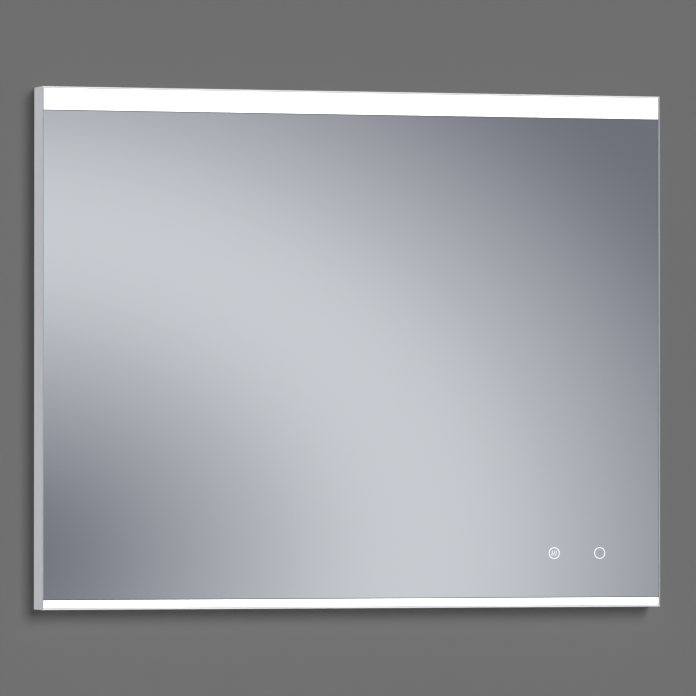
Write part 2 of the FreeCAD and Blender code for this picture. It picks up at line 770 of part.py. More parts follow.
def led_strip(name, side, edge_z, sign, middle, width):
    """A strip on the channel's floor, and its row of chips."""
    centre = f"{edge_z} {sign} {middle}"
    strip = box("LedStrip" + name, around("0", "Places.strip_x"),
                ("Places.strip_front_y", "Places.floor_front_y"), around(centre, f"{width} / 2"))
    sub_part(strip, "led_strip_" + side)

    row = "(Places.chips - 1) * Sizes.chip_pitch"
    across = around(f"-{row} / 2", "Sizes.chip_length / 2")
    chips = padded("LedChips" + name, "XZ_Plane", "-Places.strip_front_y",
                   rectangle(across, around(centre, "Sizes.chip_width / 2")), "Sizes.chip_thick")
    chips.AllowCompound = True
    pattern = chips.newObject("PartDesign::LinearPattern", "ChipRow" + name)
    pattern.Originals = [chips.Tip]
    pattern.Direction = (origin_plane(chips, "X_Axis"), [""])
    bind(pattern, Length=row, Occurrences="Places.chips")
    chips.Tip = pattern
    sub_part(chips, "led_chips_" + side)


def make_lighting():
    screws = cover_screw_places()
    light_channel("LightChannelTop", "light_channel_top", "Sizes.band_top", 0, "Places.top_z",
                  screws["top"])
    light_channel("LightChannelBottom", "light_channel_bottom", "Sizes.band_bottom", 180,
                  "Places.bottom_z", screws["bottom"])
    led_strip("Top", "top", "Places.top_z", "-", "Places.strip_top_in", "Sizes.strip_width_top")
    led_strip("Bottom", "bottom", "Places.bottom_z", "+", "Places.strip_bottom_in",
              "Sizes.strip_width_bottom")


# ---------------------------------------------------------------- demister pad and touch controls
def make_demister_pad():
    sheet = box("DemisterSheet", around("0", "Sizes.pad_width / 2"),
                ("Places.glass_back_y", "Places.glass_back_y + Sizes.pad_thick"),
                around("Places.mid_z", "Sizes.pad_height / 2"))
    doc.recompute()
    rounded = doc.addObject("Part::Fillet", "DemisterPad")
    rounded.Base = sheet
    upright = [
        (i, size("pad_corner"), size("pad_corner"))
        for i, edge in enumerate(sheet.Shape.Edges, start=1)
        if abs(edge.Vertexes[0].Y - edge.Vertexes[1].Y) > size("pad_thick") / 2
    ]
    rounded.Edges = upright
    sub_part(rounded, "demister_pad")


def touch_control(name, side, x):
    """A round sensor bonded behind the glass: case, board and the ring that lights the icon."""
    z, radius, wall = "Places.control_z", "Sizes.sensor_radius", "Sizes.sensor_wall"
    front = "Places.glass_back_y"
    outer = rod(name + "Outer", (x, front, z), "+y", "Sizes.sensor_depth", radius)
    hollow = rod(name + "Hollow", (x, front, z), "+y", f"Sizes.sensor_depth - {wall}",
                 f"{radius} - {wall}")
    lead = rod(name + "LeadHole",
               (x, "Places.sensor_board_y - Sizes.lead_diameter / 2", f"{z} + {radius} - 2 * {wall}"),
               "+z", f"3 * {wall}", "Sizes.lead_diameter / 2 + Sizes.wire_play")
    sub_part(cut(name + "SensorCase", outer, [hollow, lead]), side + "_sensor_case")
    board = rod(name + "SensorBoard", (x, "Places.sensor_board_y", z), "+y",
                "Sizes.sensor_board_thick", f"{radius} - {wall} - 2 * Sizes.hole_play")
    sub_part(board, side + "_sensor_board")
    middle = "Sizes.icon_radius - Sizes.icon_line / 2"
    guide = ring(name + "LightGuide", x, z, front, "Places.sensor_board_y",
                 f"{middle} + Sizes.guide_width / 2", f"{middle} - Sizes.guide_width / 2")
    sub_part(guide, side + "_light_guide")


# ---------------------------------------------------------------- driver
def make_driver():
    centre = ("Sizes.driver_x", "Places.driver_z")
    half_x, half_z, wall = "Sizes.driver_length / 2", "Sizes.driver_height / 2", "Sizes.driver_wall"
    corners = four_corners(*centre, "Places.driver_post_x", "Places.driver_post_z")

    shell = box("DriverShell", around(centre[0], half_x), ("Places.driver_rim_y", "Places.cover_front_y"),
                around(centre[1], half_z))
    hollow = box("DriverHollow", around(centre[0], f"{half_x} - {wall}"),
                 ("Places.driver_rim_y", "Places.driver_floor_y"), around(centre[1], f"{half_z} - {wall}"))
    tub = cut("DriverTub", shell, [hollow])
    post_height = "Places.driver_floor_y - Places.driver_rim_y"
    posts = [
        rod(f"DriverPost{i}", (x, "Places.driver_rim_y", z), "+y", post_height,
            "Sizes.driver_post_radius")
        for i, (x, z) in enumerate(corners)
    ]
    ribs = [
        box(f"DriverRib{sign}", around(f"{centre[0]} {way} Places.board_half_x / 2", wall),
            ("Places.board_back_y", "Places.driver_floor_y"), around(centre[1], f"{half_z} - {wall}"))
        for sign, way in (("Left", "-"), ("Right", "+"))
    ]
    pilots = [
        rod(f"DriverPilot{i}", (x, "Places.cover_front_y", z), "-y", "Sizes.driver_screw_length",
            "Places.driver_pilot")
        for i, (x, z) in enumerate(corners)
    ]
    lead_y = "Places.board_front_y - Sizes.lead_diameter / 2"
    lead_radius = "Sizes.lead_diameter / 2 + Sizes.wire_play"
    exits = [("Led", "Sizes.led_exit"), ("Pad", "Sizes.pad_exit"),
             ("Demister", "Sizes.demister_exit"), ("Dimmer", "Sizes.dimmer_exit")]
    lead_holes = [
        rod(f"Driver{label}Hole", (f"{centre[0]} + {offset}", lead_y,
                                   f"Places.driver_bottom_z - {wall}"), "+z", f"3 * {wall}", lead_radius)
        for label, offset in exits
    ]
    lead_holes.append(rod("DriverTopHole", (f"{centre[0]} + Sizes.led_exit", lead_y,
                                            f"Places.driver_top_z - 2 * {wall}"),
                          "+z", f"3 * {wall}", lead_radius))
    lead_holes.append(rod("DriverMainsHole", (f"{centre[0]} + {half_x} - 2 * {wall}", "Places.link_y",
                                              centre[1]),
                          "+x", f"3 * {wall}", "Sizes.mains_diameter / 2 + Sizes.wire_play"))
    case = cut("DriverCase", fused("DriverBody", [tub] + posts + ribs), pilots + lead_holes)
    sub_part(case, "driver_case")

    plate = box("DriverLidPlate", around(centre[0], half_x),
                ("Places.driver_front_y", "Places.driver_rim_y"), around(centre[1], half_z))
    sub_part(plate, "driver_lid")

    board = box("DriverBoard", around(centre[0], "Places.board_half_x"),
                ("Places.board_front_y", "Places.board_back_y"), around(centre[1], "Places.board_half_z"))
    sub_part(board, "driver_board")
    transformer = box("DriverTransformer", around("Places.transformer_x", "Sizes.transformer_length / 2"),
                      ("Places.board_front_y - Sizes.transformer_depth", "Places.board_front_y"),
                      around(centre[1], "Sizes.transformer_height / 2"))
    sub_part(transformer, "driver_transformer")
    capacitors = [
        rod(f"Capacitor{i}", (f"{centre[0]} - Places.board_half_x / 2 + {i} * Sizes.capacitor_pitch",
                              "Places.board_front_y", centre[1]), "-y",
            "Sizes.capacitor_length", "Sizes.capacitor_radius")
        for i in (-1, 0, 1)
    ]
    sub_part(grouped("DriverCapacitors", capacitors), "driver_capacitors")

    screws = [
        screw(f"DriverScrew{i}", (x, "Places.cover_rear_y", z), "+y", "Sizes.driver_screw_radius",
              "Sizes.driver_screw_length", "Sizes.cover_head_radius", "Sizes.cover_head_height")
        for i, (x, z) in enumerate(corners)
    ]
    sub_part(grouped("DriverScrews", screws), "driver_screws")
    return corners


# ---------------------------------------------------------------- terminal tray
def make_terminal_tray():
    centre = ("Places.tray_x", "Places.driver_z")
    half_x, half_z, wall = "Sizes.tray_width / 2", "Sizes.tray_height / 2", "Sizes.tray_wall"
    corners = four_corners(*centre, "Places.rim_screw_x", "Places.rim_screw_z")
    clamp_posts = [f"Places.clamp_x {way} Places.clamp_post_x" for way in "-+"]

    shell = box("TrayShell", around(centre[0], half_x), ("Places.driver_front_y", "Places.cover_front_y"),
                around(centre[1], half_z))
    rim = box("TrayRim", around(centre[0], "Places.rim_half_x"),
              ("Places.rim_front_y", "Places.cover_front_y"), around(centre[1], "Places.rim_half_z"))
    hollow = box("TrayHollow", around(centre[0], f"{half_x} - {wall}"),
                 ("Places.tray_floor_y", "Places.cover_front_y"), around(centre[1], f"{half_z} - {wall}"))
    tub = cut("TrayTub", fused("TrayOuter", [shell, rim]), [hollow])
    posts = [
        rod(f"TrayPost{i}", (x, "Places.tray_floor_y", "Places.clamp_z"), "+y",
            "Sizes.clamp_post_height", "Sizes.clamp_post_radius")
        for i, x in enumerate(clamp_posts)
    ]
    bores = [
        rod(f"TrayPostBore{i}", (x, "Places.tray_floor_y", "Places.clamp_z"), "+y",
            "Sizes.clamp_post_height", "Places.tapped_hole")
        for i, x in enumerate(clamp_posts)
    ]
    rim_holes = [
        rod(f"TrayHole{i}", (x, "Places.rim_front_y", z), "+y", wall, "Places.tapped_hole")
        for i, (x, z) in enumerate(corners)
    ]
    mains = rod("TrayMainsHole", (f"{centre[0]} - {half_x} - {wall}", "Places.link_y", centre[1]), "+x",
                f"3 * {wall}", "Sizes.mains_diameter / 2 + Sizes.wire_play")
    earth = rod("TrayEarthHole",
                ("Places.block_x", "Places.earth_lead_y", f"{centre[1]} + {half_z} - 2 * {wall}"),
                "+z", f"3 * {wall}", "Sizes.earth_diameter / 2 + Sizes.wire_play")
    tray = cut("TerminalTray", fused("TrayBody", [tub] + posts), bores + rim_holes + [mains, earth])
    sub_part(tray, "terminal_tray")

    plate = box("LidPlate", around(centre[0], "Places.rim_half_x"),
                ("Places.cover_rear_y", "Places.lid_rear_y"), around(centre[1], "Places.rim_half_z"))
    lid_holes = [
        rod(f"LidHole{i}", (x, "Places.cover_rear_y", z), "+y", "Sizes.lid_thick", "Places.cover_hole")
        for i, (x, z) in enumerate(corners)
    ]
    inlet = rod("LidInlet", ("Places.clamp_x", "Places.cover_rear_y", "Places.inlet_z"), "+y",
                "Sizes.lid_thick", "Sizes.grommet_neck_radius + Sizes.thread_play")
    sub_part(cut("TerminalLid", plate, lid_holes + [inlet]), "terminal_lid")

    inlet_spot = ("Places.clamp_x", "Places.cover_rear_y", "Places.inlet_z")
    flange, collar = "Sizes.grommet_flange_radius", "Sizes.grommet_flange_thick"
    total = f"Sizes.lid_thick + 2 * {collar}"
    rear = rod("GrommetRear", shifted(inlet_spot, "+y", "Sizes.lid_thick"), "+y", collar, flange,
               f"{flange} - {collar}")
    inner = rod("GrommetInner", inlet_spot, "-y", collar, flange)
    neck = rod("GrommetNeck", inlet_spot, "+y", "Sizes.lid_thick", "Sizes.grommet_neck_radius")
    bore = rod("GrommetBore", shifted(inlet_spot, "-y", collar), "+y", total, "Sizes.inlet_bore_radius")
    sub_part(cut("InletGrommet", fused("GrommetBody", [rear, inner, neck]), [bore]), "inlet_grommet")

    screws = [
        screw(f"LidScrew{i}", (x, "Places.lid_rear_y", z), "+y", "Sizes.cover_screw_radius",
              "Sizes.lid_thick + Sizes.cover_thick + Sizes.tray_wall", "Sizes.cover_head_radius",
              "Sizes.cover_head_height")
        for i, (x, z) in enumerate(corners)
    ]
    sub_part(grouped("TerminalLidScrews", screws), "terminal_lid_screws")

    block = box("BlockBody", around("Places.block_x", "Sizes.block_width / 2"),
                ("Places.tray_floor_y", "Places.block_rear_y"), around(centre[1], "Sizes.block_height / 2"))
    wells = [
        rod(f"BlockWell{column}{row}",
            (f"Places.block_x + {column} * Sizes.block_width / 3", "Places.block_rear_y",
             f"{centre[1]} + {row} * Sizes.block_height / 4"), "-y", "Sizes.block_well_depth",
            "Sizes.block_well_radius")
        for column in (-1, 0, 1) for row in (-1, 1)
    ]
    sub_part(cut("TerminalBlock", block, wells), "terminal_block")

    bar = box("ClampBar", around("Places.clamp_x", "Sizes.clamp_length / 2"),
              ("Places.clamp_post_y", "Places.clamp_post_y + Sizes.clamp_thick"),
              around("Places.clamp_z", "Sizes.clamp_width / 2"))
    bar_holes = [
        rod(f"ClampHole{i}", (x, "Places.clamp_post_y", "Places.clamp_z"), "+y", "Sizes.clamp_thick",
            "Places.cover_hole")
        for i, x in enumerate(clamp_posts)
    ]
    sub_part(cut("CordClamp", bar, bar_holes), "cord_clamp")
    clamp_screws = [
        screw(f"ClampScrew{i}", (x, "Places.clamp_post_y + Sizes.clamp_thick", "Places.clamp_z"), "+y",
              "Sizes.cover_screw_radius", "Sizes.clamp_screw_length", "Sizes.cover_head_radius",
              "Sizes.cover_head_height")
        for i, x in enumerate(clamp_posts)
    ]
    sub_part(grouped("CordClampScrews", clamp_screws), "cord_clamp_screws")
    return corners


# ---------------------------------------------------------------- earth point
def make_earth_point():
    spot = ("Places.block_x", "Places.cover_rear_y", "Places.earth_z")
    stud = screw("EarthStud", spot, "+y", "Sizes.earth_screw_radius", "Sizes.earth_screw_length",
                 "Sizes.earth_head_radius", "Sizes.earth_head_height")
    sub_part(stud, "earth_stud")
    seat = ("Places.block_x", "Places.cover_front_y", "Places.earth_z")
    eye = rod("LugEye", seat, "-y", "Sizes.lug_thick", "Sizes.lug_radius")
    neck = box("LugNeck", around("Places.block_x", "Sizes.lug_barrel_radius"),
               ("Places.lug_front_y", "Places.cover_front_y"),
               ("Places.barrel_top_z", "Places.earth_z"))
    barrel = rod("LugBarrel", ("Places.block_x", "Places.barrel_y", "Places.barrel_z"), "+z",
                 "Sizes.lug_barrel_length", "Sizes.lug_barrel_radius")
    hole = rod("LugHole", seat, "-y", "Sizes.lug_thick", "Sizes.earth_screw_radius + Sizes.hole_play")
    sub_part(cut("EarthLug", fused("LugBody", [eye, neck, barrel]), [hole]), "earth_lug")
    hexagon = doc.addObject("Part::Prism", "NutBody")
    hexagon.Polygon = 6
    bind(hexagon, Circumradius="Sizes.nut_width / sqrt(3)", Height="Sizes.nut_height")
    hexagon.Placement.Rotation = TURNS["-y"]
    nut_seat = ("Places.block_x", "Places.lug_front_y", "Places.earth_z")
    put(hexagon, nut_seat)
    thread = rod("NutThread", nut_seat, "-y", "Sizes.nut_height",
                 "Sizes.earth_screw_radius + Sizes.thread_play")
    sub_part(cut("EarthNut", hexagon, [thread]), "earth_nut")


# ---------------------------------------------------------------- wall rail, hanger and bumpers
def rivet_places():
    count = int(size("rivet_count"))
    return [
        (f"({i} - (Sizes.rivet_count - 1) / 2) * Sizes.rivet_pitch", "Places.rivet_z") for i in range(count)
    ]


def make_wall_rail():
    section = [
        ("0", "-Sizes.rail_half"),
        ("0", "Places.rail_web_z"),
        ("Places.rail_tongue_y", "Places.rail_web_z"),
        ("Places.rail_tongue_y", "Places.rail_top_z"),
        ("Places.rail_front_y", "Places.rail_top_z"),
        ("Places.rail_front_y", "Sizes.rail_half"),
        ("-Sizes.rail_thick", "Sizes.rail_half"),
        ("-Sizes.rail_thick", "-Sizes.rail_half"),
    ]
    body = padded("RailBlank", "YZ_Plane", "-Sizes.rail_length / 2", section, "Sizes.rail_length")
    holes = [
        rod(f"RailHole{i}", (f"({i} - (Sizes.rail_hole_count - 1) / 2) * Sizes.rail_hole_pitch",
                             "-Sizes.rail_thick", "0"), "+y", "Sizes.rail_thick", "Sizes.rail_hole_radius")
        for i in range(int(size("rail_hole_count")))
    ]
    sub_part(cut("WallRail", body, holes), "wall_rail")


def make_hanger():
    section = [
        ("Places.cover_rear_y", "Places.hanger_top_z"),
        ("Places.cover_rear_y", "Places.rail_top_z"),
        ("Places.hanger_tongue_y", "Places.rail_top_z"),
        ("Places.hanger_tongue_y", "Places.hanger_tip_z"),
        ("Places.hanger_rear_y", "Places.hanger_tip_z"),
        ("Places.hanger_rear_y", "Places.hanger_web_z"),
        ("Places.hanger_foot_y", "Places.hanger_web_z"),
        ("Places.hanger_foot_y", "Places.hanger_top_z"),
    ]
    body = padded("HangerBlank", "YZ_Plane", "-Sizes.hanger_length / 2", section, "Sizes.hanger_length")
    hole_radius = "Sizes.rivet_radius + Sizes.thread_play"
    holes = [
        rod(f"HangerHole{i}", (x, "Places.cover_rear_y", z), "+y", "Sizes.rail_thick", hole_radius)
        for i, (x, z) in enumerate(rivet_places())
    ]
    sub_part(cut("Hanger", body, holes), "hanger")

    rivets = []
    for i, (x, z) in enumerate(rivet_places()):
        front, rear = (x, "Places.cover_front_y", z), (x, "Places.hanger_foot_y", z)
        grip = "Sizes.cover_thick + Sizes.rail_thick"
        head, tall = "Sizes.rivet_head_radius", "Sizes.rivet_head_height"
        shank = rod(f"RivetShank{i}", front, "+y", grip, "Sizes.rivet_radius")
        ends = [
            rod(f"RivetHead{i}", rear, "+y", tall, head, f"0.6 * {head}"),
            rod(f"RivetTail{i}", front, "-y", tall, f"0.8 * {head}", f"0.5 * {head}"),
        ]
        rivets.append(fused(f"Rivet{i}", [shank] + ends))
    sub_part(grouped("HangerRivets", rivets), "hanger_rivets")


def make_bumpers():
    for name, node, x in (("BumperLeft", "wall_bumper_left", "-Places.bumper_x"),
                          ("BumperRight", "wall_bumper_right", "Places.bumper_x")):
        cone = rod(name, (x, "Places.cover_rear_y", "Places.bumper_z"), "+y", "Sizes.cover_recess",
                   "Sizes.bumper_radius", "Sizes.bumper_tip_radius")
        sub_part(cone, node)


# ---------------------------------------------------------------- back cover
def make_back_cover(driver_corners, tray_corners):
    edge = "(Sizes.frame_wall + Sizes.cover_gap)"
    sheet = padded("CoverSheet", "XZ_Plane", "-Places.cover_rear_y",
                   rectangle(around("0", f"Places.out_x - {edge}"),
                             (f"Places.bottom_z + {edge}", f"Places.top_z - {edge}")),
                   "Sizes.cover_thick")
    frame_screws = [spot for row in cover_screw_places().values() for spot in row]
    holes = [(spot, "Places.cover_hole") for spot in frame_screws + tray_corners]
    holes += [(spot, "Places.driver_hole") for spot in driver_corners]
    holes += [(spot, "Sizes.rivet_radius + Sizes.thread_play") for spot in rivet_places()]
    holes.append((("Places.block_x", "Places.earth_z"), "Sizes.earth_screw_radius + Sizes.hole_play"))
    drills = [
        rod(f"CoverHole{i}", (x, "Places.cover_front_y", z), "+y", "Sizes.cover_thick", radius)
        for i, ((x, z), radius) in enumerate(holes)
    ]
    opening = box("CoverOpening", around("Places.tray_x", "Sizes.tray_width / 2 - Sizes.tray_wall"),
                  ("Places.cover_front_y", "Places.cover_rear_y"),
                  around("Places.driver_z", "Sizes.tray_height / 2 - Sizes.tray_wall"))
    sub_part(cut("BackCover", sheet, drills + [opening]), "back_cover")

    screws = [
        screw(f"CoverScrew{i}", (x, "Places.cover_rear_y", z), "+y", "Sizes.cover_screw_radius",
              "Sizes.cover_screw_length", "Sizes.cover_head_radius", "Sizes.cover_head_height")
        for i, (x, z) in enumerate(frame_screws)
    ]
    sub_part(grouped("CoverScrews", screws), "cover_screws")


# ---------------------------------------------------------------- wires
def cable(name, node, route, diameter):
    """A round wire along straight runs joined by tangent arcs; it prints the tightest bend."""
    corners = [FreeCAD.Vector(*point) for point in route]
    start, edges, tightest = corners[0], [], None
    for before, corner, after in zip(corners, corners[1:], corners[2:]):
        back, ahead = (before - corner), (after - corner)
        half_turn = (math.pi - back.getAngle(ahead)) / 2
        trim = 0.45 * min(back.Length, ahead.Length)
        radius = trim / math.tan(half_turn)
        tightest = radius if tightest is None else min(tightest, radius)
        back.normalize()
        ahead.normalize()
        arc_start, arc_end = corner + back * trim, corner + ahead * trim
        to_centre = back + ahead
        to_centre.normalize()
        middle = corner + to_centre * (radius / math.cos(half_turn) - radius)
        edges.append(Part.makeLine(start, arc_start))
        edges.append(Part.Arc(arc_start, middle, arc_end).toShape())
        start = arc_end
    edges.append(Part.makeLine(start, corners[-1]))
    path = Part.Wire(edges)
    profile = Part.Wire(Part.makeCircle(diameter / 2, corners[0], corners[1] - corners[0]))
    tube = path.makePipeShell([profile], True, False)
    expected = math.pi * (diameter / 2) ** 2 * path.Length
    if abs(tube.Volume - expected) > 0.01 * expected:
        raise RuntimeError(f"{node}: volume {tube.Volume:.1f} is not {expected:.1f}")
    bend = "straight" if tightest is None else f"tightest bend {tightest:.1f} mm"
    print(f"{node}: {path.Length:.0f} mm long, {bend}")
    wire = doc.addObject("Part::Feature", name)
    wire.Shape = tube
    sub_part(wire, node)


def make_cables():
    """The wiring: each route is a list of corners, from one end's connection to the other's."""
    lead, run, slope = size("lead_diameter"), size("lead_run"), size("lead_slope")
    board_y = place("board_front_y") - lead / 2
    strip_y = place("strip_front_y") - lead / 2
    driver_x, bottom, top = size("driver_x"), place("driver_bottom_z"), place("driver_top_z")
    inside = 3 * size("driver_wall")

    led_x = driver_x + size("led_exit")
    chip_reach = size("chip_width") / 2 + size("hole_play")
    top_end = place("top_z") - place("strip_top_in") - chip_reach
    cable("LedCableTop", "led_cable_top", [
        (led_x, board_y, top - inside),
        (led_x, board_y, top + run),
        (led_x, strip_y, top + run + slope),
        (led_x, strip_y, top_end),
    ], lead)
    bottom_end = place("bottom_z") + place("strip_bottom_in") + chip_reach
    cable("LedCableBottom", "led_cable_bottom", [
        (led_x, board_y, bottom + inside),
        (led_x, board_y, bottom - run),
        (led_x, strip_y, bottom - run - slope),
        (led_x, strip_y, bottom_end),
    ], lead)

    pad_x = driver_x + size("pad_exit")
    pad_y = place("glass_back_y") + size("pad_thick") + lead / 2
    cable("DemisterPadCable", "demister_pad_cable", [
        (pad_x, board_y, bottom + inside),
        (pad_x, board_y, bottom - run),
        (pad_x, pad_y, bottom - run - slope),
        (pad_x, pad_y, bottom - run - slope - size("lead_tail")),
    ], lead)

    sensor_y = place("sensor_board_y") - lead / 2
    arrival = place("control_z") + size("sensor_radius")
    for name, node, exit_offset, sensor, step in (
        ("DimmerCable", "dimmer_cable", "dimmer_exit", "dimmer_x", 0),
        ("DemisterSwitchCable", "demister_switch_cable", "demister_exit", "demister_x", size("lead_step")),
    ):
        start_x, end_x = driver_x + size(exit_offset), place(sensor)
        cable(name, node, [
            (start_x, board_y, bottom + inside),
            (start_x, board_y, bottom - run - step),
            (end_x, board_y, arrival + size("sensor_run") + size("sensor_slope") - step),
            (end_x, sensor_y, arrival + size("sensor_run")),
            (end_x, sensor_y, arrival - size("lead_entry")),
        ], lead)

    link_y, link_z = place("link_y"), place("driver_z")
    cable("MainsLinkCable", "mains_link_cable", [
        (place("transformer_right_x"), link_y, link_z),
        (place("block_x") - size("block_width") / 2, link_y, link_z),
    ], size("mains_diameter"))

    x, lead_y, barrel_y = place("block_x"), place("earth_lead_y"), place("barrel_y")
    cable("EarthWire", "earth_wire", [
        (x, lead_y, link_z + size("block_height") / 2),
        (x, lead_y, link_z + place("rim_half_z")),
        (x, barrel_y, place("barrel_z") - size("earth_run")),
        (x, barrel_y, place("barrel_z")),
    ], size("earth_diameter"))


def make_cable_clips():
    """Stick-on saddles that hold the light cables to the cover where they run straight."""
    x = "(Sizes.driver_x + Sizes.led_exit)"
    strip_y = "(Places.strip_front_y - Sizes.lead_diameter / 2)"
    spots = ["Places.driver_top_z + Sizes.clip_start"]
    spots += [
        f"Places.driver_bottom_z - Sizes.clip_start - {i} * Sizes.clip_pitch"
        for i in range(int(size("clips_below")))
    ]
    clips = []
    for i, z in enumerate(spots):
        block = box(f"ClipBlock{i}", around(x, "Sizes.clip_width / 2"),
                    (f"{strip_y} - Sizes.lead_diameter / 2 - Sizes.clip_cap", "Places.cover_front_y"),
                    around(z, "Sizes.clip_height / 2"))
        bore = rod(f"ClipBore{i}", (x, strip_y, f"{z} - Sizes.clip_height / 2"), "+z",
                   "Sizes.clip_height", "Sizes.lead_diameter / 2 + Sizes.wire_play")
        clips.append(cut(f"Clip{i}", block, [bore]))
    sub_part(grouped("CableClips", clips), "cable_clips")


# ---------------------------------------------------------------- the whole mirror
def check_and_export():
    """Stops on any failed object, then writes each sub-part to its own file."""
    doc.recompute()
    failed = [item.Name for item in doc.Objects if {"Invalid", "Error"} & set(item.State)]
    if failed:
        raise RuntimeError("these objects failed: " + ", ".join(failed))
    os.makedirs("parts", exist_ok=True)
    for item in sub_parts:
        shape = item.Shape
        if shape.isNull() or not shape.isValid() or not shape.Solids:
            raise RuntimeError(item.Label + " has no valid solid")
    for item in sub_parts:
        item.Shape.exportStep(f"parts/{item.Label}.step")
    print(len(sub_parts), "sub-parts written")


make_panes()
make_frame()
make_corner_keys()
make_tapes()
make_lighting()
make_demister_pad()
touch_control("Dimmer", "dimmer", "Places.dimmer_x")
touch_control("Demister", "demister", "Places.demister_x")
cover_driver_holes = make_driver()
cover_tray_holes = make_terminal_tray()
make_earth_point()
make_wall_rail()
make_hanger()
make_bumpers()
make_back_cover(cover_driver_holes, cover_tray_holes)
make_cables()
make_cable_clips()
check_and_export()
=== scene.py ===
import json
import math

import bmesh
import bpy
from mathutils import Matrix, Vector


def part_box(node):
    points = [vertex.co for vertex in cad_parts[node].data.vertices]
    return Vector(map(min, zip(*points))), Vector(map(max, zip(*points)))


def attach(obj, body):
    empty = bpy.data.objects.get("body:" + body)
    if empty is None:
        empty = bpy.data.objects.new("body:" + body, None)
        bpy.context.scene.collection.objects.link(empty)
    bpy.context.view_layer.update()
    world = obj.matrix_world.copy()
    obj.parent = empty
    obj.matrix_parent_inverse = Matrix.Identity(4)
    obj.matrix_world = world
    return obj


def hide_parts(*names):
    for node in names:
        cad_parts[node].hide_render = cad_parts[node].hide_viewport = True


# A lighted bathroom mirror on its wall rail. Metres; X to the viewer's right, Z up, the wall at y = 0.

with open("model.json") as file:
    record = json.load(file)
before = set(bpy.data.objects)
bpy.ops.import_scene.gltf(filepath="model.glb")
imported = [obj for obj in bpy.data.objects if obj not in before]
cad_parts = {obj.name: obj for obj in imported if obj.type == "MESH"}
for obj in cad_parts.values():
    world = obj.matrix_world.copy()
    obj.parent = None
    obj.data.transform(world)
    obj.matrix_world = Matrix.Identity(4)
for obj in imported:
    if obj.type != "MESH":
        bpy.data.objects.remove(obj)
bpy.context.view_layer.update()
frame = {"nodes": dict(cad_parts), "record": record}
MM = 0.001
MIRROR, RAIL = "mirror", "rail"
LARGE_FLAT = 40 * MM * MM  # faces above this area are shaded flat
WELD = 0.002 * MM  # corners nearer than this are one
SAME_PLANE = math.radians(0.5)  # faces that turn less than this are one flat
SOFT_ANGLE, SOFT_STEPS = math.radians(30), 2  # edges of a CAD form sharper than this are softened
TURNED_CREASE, MOULDED_CREASE = math.radians(35), math.radians(40)  # edges sharper than this stay crisp
CLIP_END = 100  # far beyond the stage

# -------------------- the camera
SENSOR = 36.0
FRAME_PIXELS = 696
FOCAL_PIXELS = 6794
CAMERA_PLACE = Vector((-3.068, -10.110, -0.477))
CAMERA_YAW, CAMERA_PITCH = math.radians(16.90), math.radians(1.087)


def make_camera():
    data = bpy.data.cameras.new("Camera")
    data.sensor_width = SENSOR
    data.lens = FOCAL_PIXELS / FRAME_PIXELS * SENSOR
    data.clip_end = CLIP_END
    camera = bpy.data.objects.new("Camera", data)
    camera.location = CAMERA_PLACE
    ahead = Vector((math.sin(CAMERA_YAW) * math.cos(CAMERA_PITCH),
                    math.cos(CAMERA_YAW) * math.cos(CAMERA_PITCH),
                    math.sin(CAMERA_PITCH)))
    camera.rotation_mode = "QUATERNION"
    camera.rotation_quaternion = ahead.to_track_quat("-Z", "Y")
    bpy.context.scene.collection.objects.link(camera)
    bpy.context.scene.camera = camera


# -------------------- node helpers
PATCH_SCALE = 40.0  # slow changes of tone on every finish
NOISE_LOW, NOISE_HIGH = 0.3, 0.7  # where nearly all of a noise's values lie


def add(tree, kind, inputs=None, **settings):
    """A node with its settings, and its inputs given as constants or as sockets to link from."""
    made = tree.nodes.new(kind)
    for key, value in settings.items():
        setattr(made, key, value)
    for key, value in (inputs or {}).items():
        if isinstance(value, bpy.types.NodeSocket):
            tree.links.new(value, made.inputs[key])
        else:
            made.inputs[key].default_value = value
    return made


def rgba(colour):
    return (*colour, 1.0) if len(colour) == 3 else colour


def blank_material(name):
    material = bpy.data.materials.new(name)
    material.use_nodes = True
    material.node_tree.nodes.clear()
    return material, material.node_tree


def blank_finish(name, shader_inputs):
    material, tree = blank_material(name)
    shader = add(tree, "ShaderNodeBsdfPrincipled", shader_inputs)
    add(tree, "ShaderNodeOutputMaterial", {"Surface": shader.outputs[0]})
    return material, tree, shader


def place_of(tree, stretch=(1, 1, 1), shift=(0, 0, 0)):
    """The point on the piece, stretched and then shifted."""
    coordinates = add(tree, "ShaderNodeTexCoord")
    return add(tree, "ShaderNodeMapping", {
        "Vector": coordinates.outputs["Object"], "Location": shift, "Scale": stretch}).outputs[0]


def mottle(tree, scale, detail=3.0, stretch=(1, 1, 1)):
    return add(tree, "ShaderNodeTexNoise", {
        "Vector": place_of(tree, stretch), "Scale": scale, "Detail": detail}).outputs["Fac"]


def between(tree, factor, low, high):
    """A colour or a number that runs from low to high with factor."""
    if isinstance(low, tuple):
        mix = add(tree, "ShaderNodeMix", data_type="RGBA")
        tree.links.new(factor, mix.inputs["Factor"])
        for socket, colour in ((6, low), (7, high)):
            mix.inputs[socket].default_value = rgba(colour)
        return mix.outputs[2]
    spread = add(tree, "ShaderNodeMapRange", {
        "Value": factor, "From Min": NOISE_LOW, "From Max": NOISE_HIGH, "To Min": low, "To Max": high})
    return spread.outputs[0]


def drive(tree, shader, socket, factor, low, high):
    """A shader's input that runs from low to high with factor."""
    tree.links.new(between(tree, factor, low, high), shader.inputs[socket])


def relief(tree, shader, height, distance):
    bump = add(tree, "ShaderNodeBump", {"Height": height, "Distance": distance, "Strength": 1.0})
    tree.links.new(bump.outputs[0], shader.inputs["Normal"])


